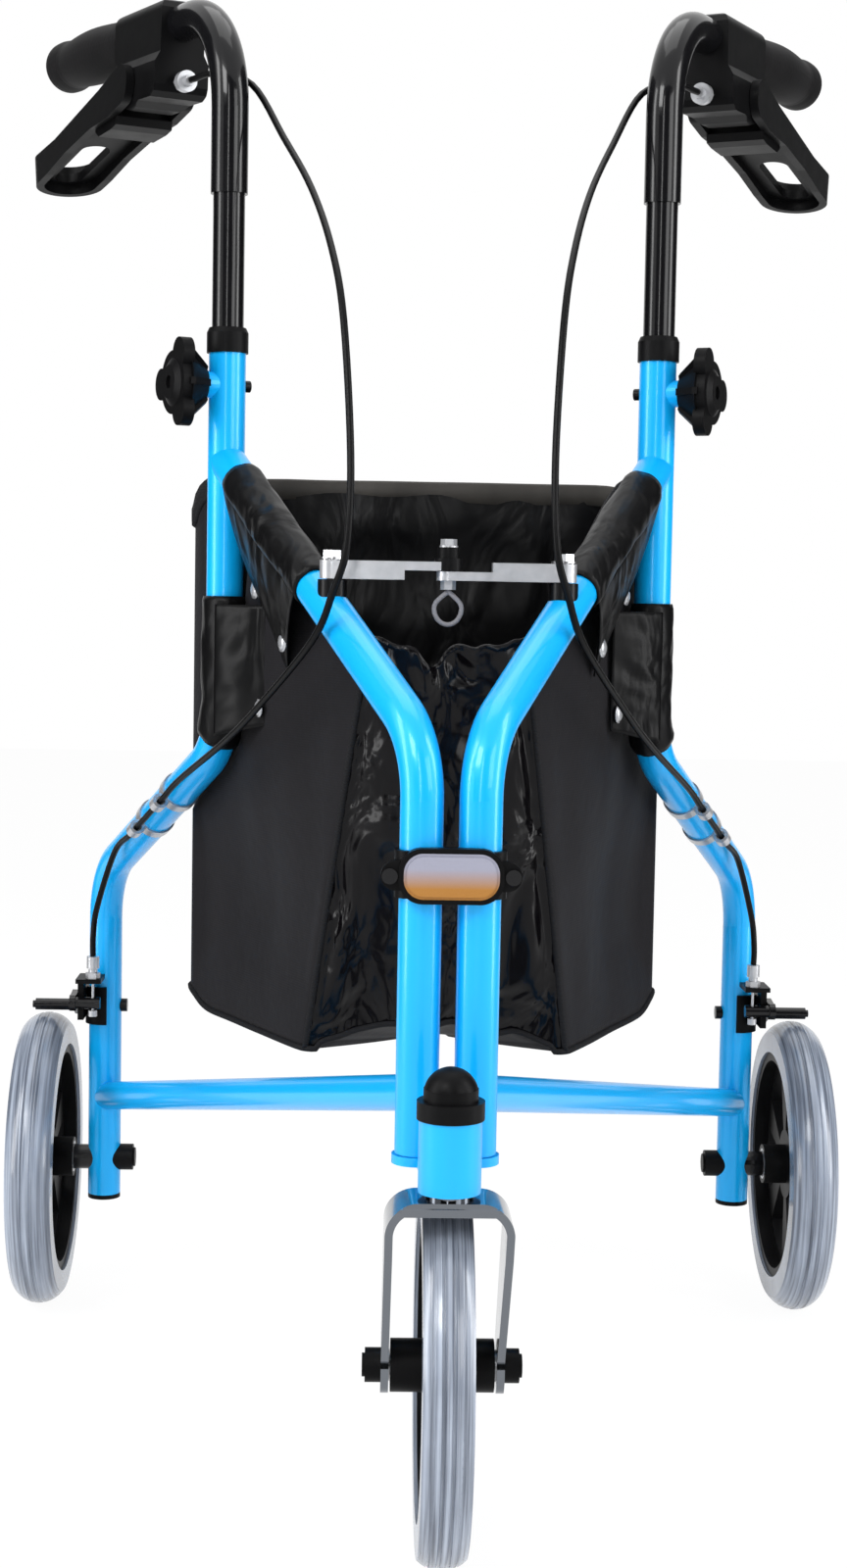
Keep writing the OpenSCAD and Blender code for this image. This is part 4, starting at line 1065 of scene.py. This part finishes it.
# %% [markdown]
# ## Floor and sky
# The picture is a product shot on white: a pale floor that keeps a soft shadow, under a pale sky. A floor
# lit only by lamps would turn grey, so rays from the camera and from shiny or clear surfaces see floor and
# sky as plain white light. Other rays meet a matt floor and a dimmer sky, so the shading keeps its depth.

# %% Floor and sky
FLOOR_GLOW = 1.03
FLOOR_SHARE = 0.92
SKY_DIM = 0.38
scene = bpy.context.scene
scene.view_settings.view_transform = "Standard"


def seen_directly(tree):
    path = add(tree, "ShaderNodeLightPath", {}, {})
    shiny = add(tree, "ShaderNodeMath", {"operation": "MAXIMUM"},
                {0: path.outputs["Is Glossy Ray"], 1: path.outputs["Is Transmission Ray"]})
    seen = add(tree, "ShaderNodeMath", {"operation": "MAXIMUM"},
               {0: path.outputs["Is Camera Ray"], 1: shiny.outputs["Value"]})
    return seen.outputs["Value"]


floor_finish, tree, shader, place = finish_named("pale_studio_floor")
wire(tree, shader, {"Base Color": hex_colour("#fafafa"), "Roughness": 0.9})
glow = add(tree, "ShaderNodeEmission", {}, {"Strength": FLOOR_GLOW})
part = add(tree, "ShaderNodeMath", {"operation": "MULTIPLY"}, {0: seen_directly(tree), 1: FLOOR_SHARE})
mix = add(tree, "ShaderNodeMixShader", {}, {"Fac": part.outputs["Value"], 1: shader.outputs["BSDF"],
                                            2: glow.outputs["Emission"]})
wire(tree, tree.nodes["Material Output"], {"Surface": mix.outputs["Shader"]})
floor_shape = bmesh.new()
bmesh.ops.create_grid(floor_shape, x_segments=1, y_segments=1, size=6)
floor = to_piece("floor", floor_shape, floor_finish, None, smooth=False)
floor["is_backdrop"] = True
world = bpy.data.worlds.new("studio")
scene.world = world
world.use_nodes = True
tree = world.node_tree
bright = add(tree, "ShaderNodeMapRange", {}, {"Value": seen_directly(tree), "To Min": SKY_DIM, "To Max": 1.0})
wire(tree, tree.nodes["Background"], {"Color": hex_colour("#ffffff"), "Strength": bright.outputs["Result"]})
print("floor and sky ready")

# %% [markdown]
# ## Lamps
# A large soft lamp stands high in front on the left, with a weaker one on the right and one overhead. Spot
# lamps would give hard points of light, so all are areas. Three strip lamps draw the bright lines on the
# tubes.


# %% Lamps
def lamp(name, place_at, look_at, size_x, size_y, watts):
    data = bpy.data.lights.new(name, "AREA")
    data.shape = "RECTANGLE"
    data.size, data.size_y = size_x, size_y
    data.energy = watts
    made = bpy.data.objects.new(name, data)
    bpy.context.collection.objects.link(made)
    aim = (Vector(look_at) - Vector(place_at)).to_track_quat("-Z", "Y").to_matrix().to_4x4()
    made.matrix_world = Matrix.Translation(place_at) @ aim


lamp("key", (-1.3, -2.1, 2.2), (0, 0, 0.45), 1.0, 1.0, 38)
lamp("fill", (1.6, -2.0, 1.3), (0, 0, 0.45), 1.0, 1.4, 19)
lamp("strip_left", (-1.5, -0.5, 0.9), (0, 0, 0.6), 0.4, 1.8, 17)
lamp("strip_right", (1.5, -0.4, 0.9), (0, 0, 0.6), 0.4, 1.8, 16)
lamp("strip_front", (-0.35, -2.3, 1.1), (0, 0, 0.6), 0.16, 1.8, 9)
lamp("top", (0, 0.3, 2.6), (0, 0, 0.4), 1.6, 1.6, 15)
print("lamps", len(bpy.data.lights))

# %% [markdown]
# ## Flags
# Black felt flags stand beside the object and behind the camera, as in a photographer's tent. They draw a
# dark edge along the tubes and keep black pieces black. Real flags would also shade the object, so only
# reflections see these.

# %% Flags
FLAGS = (("left_flag", (-1.1, 0.75, 0.85), "Y", 1.6, 1.5), ("right_flag", (1.1, 0.75, 0.85), "Y", 1.6, 1.5),
         ("front_flag", (0, -3.0, 1.6), "X", 5.0, 3.0))
flag_finish, tree, shader, place = finish_named("black_felt_flag")
wire(tree, shader, {"Base Color": hex_colour("#101010"), "Roughness": 1.0})
for name, spot, axis, wide, tall in FLAGS:
    flag_shape = bmesh.new()
    bmesh.ops.create_grid(flag_shape, x_segments=1, y_segments=1, size=0.5)
    upright = Matrix.Rotation(math.pi / 2, 4, axis) @ Matrix.Diagonal((wide, tall, 1, 1))
    bmesh.ops.transform(flag_shape, matrix=Matrix.Translation(spot) @ upright, verts=flag_shape.verts)
    flag = to_piece(name, flag_shape, flag_finish, None, smooth=False)
    flag.visible_camera = flag.visible_diffuse = flag.visible_shadow = False
    flag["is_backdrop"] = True
print("flags", len(FLAGS))

# %% [markdown]
# ## Size and end
# The box of the dressed model is printed. The dressed model must stay in the box of the
# solids.

# %% Sizes
low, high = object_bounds()
print("visual box", [round(v, 3) for v in high - low])
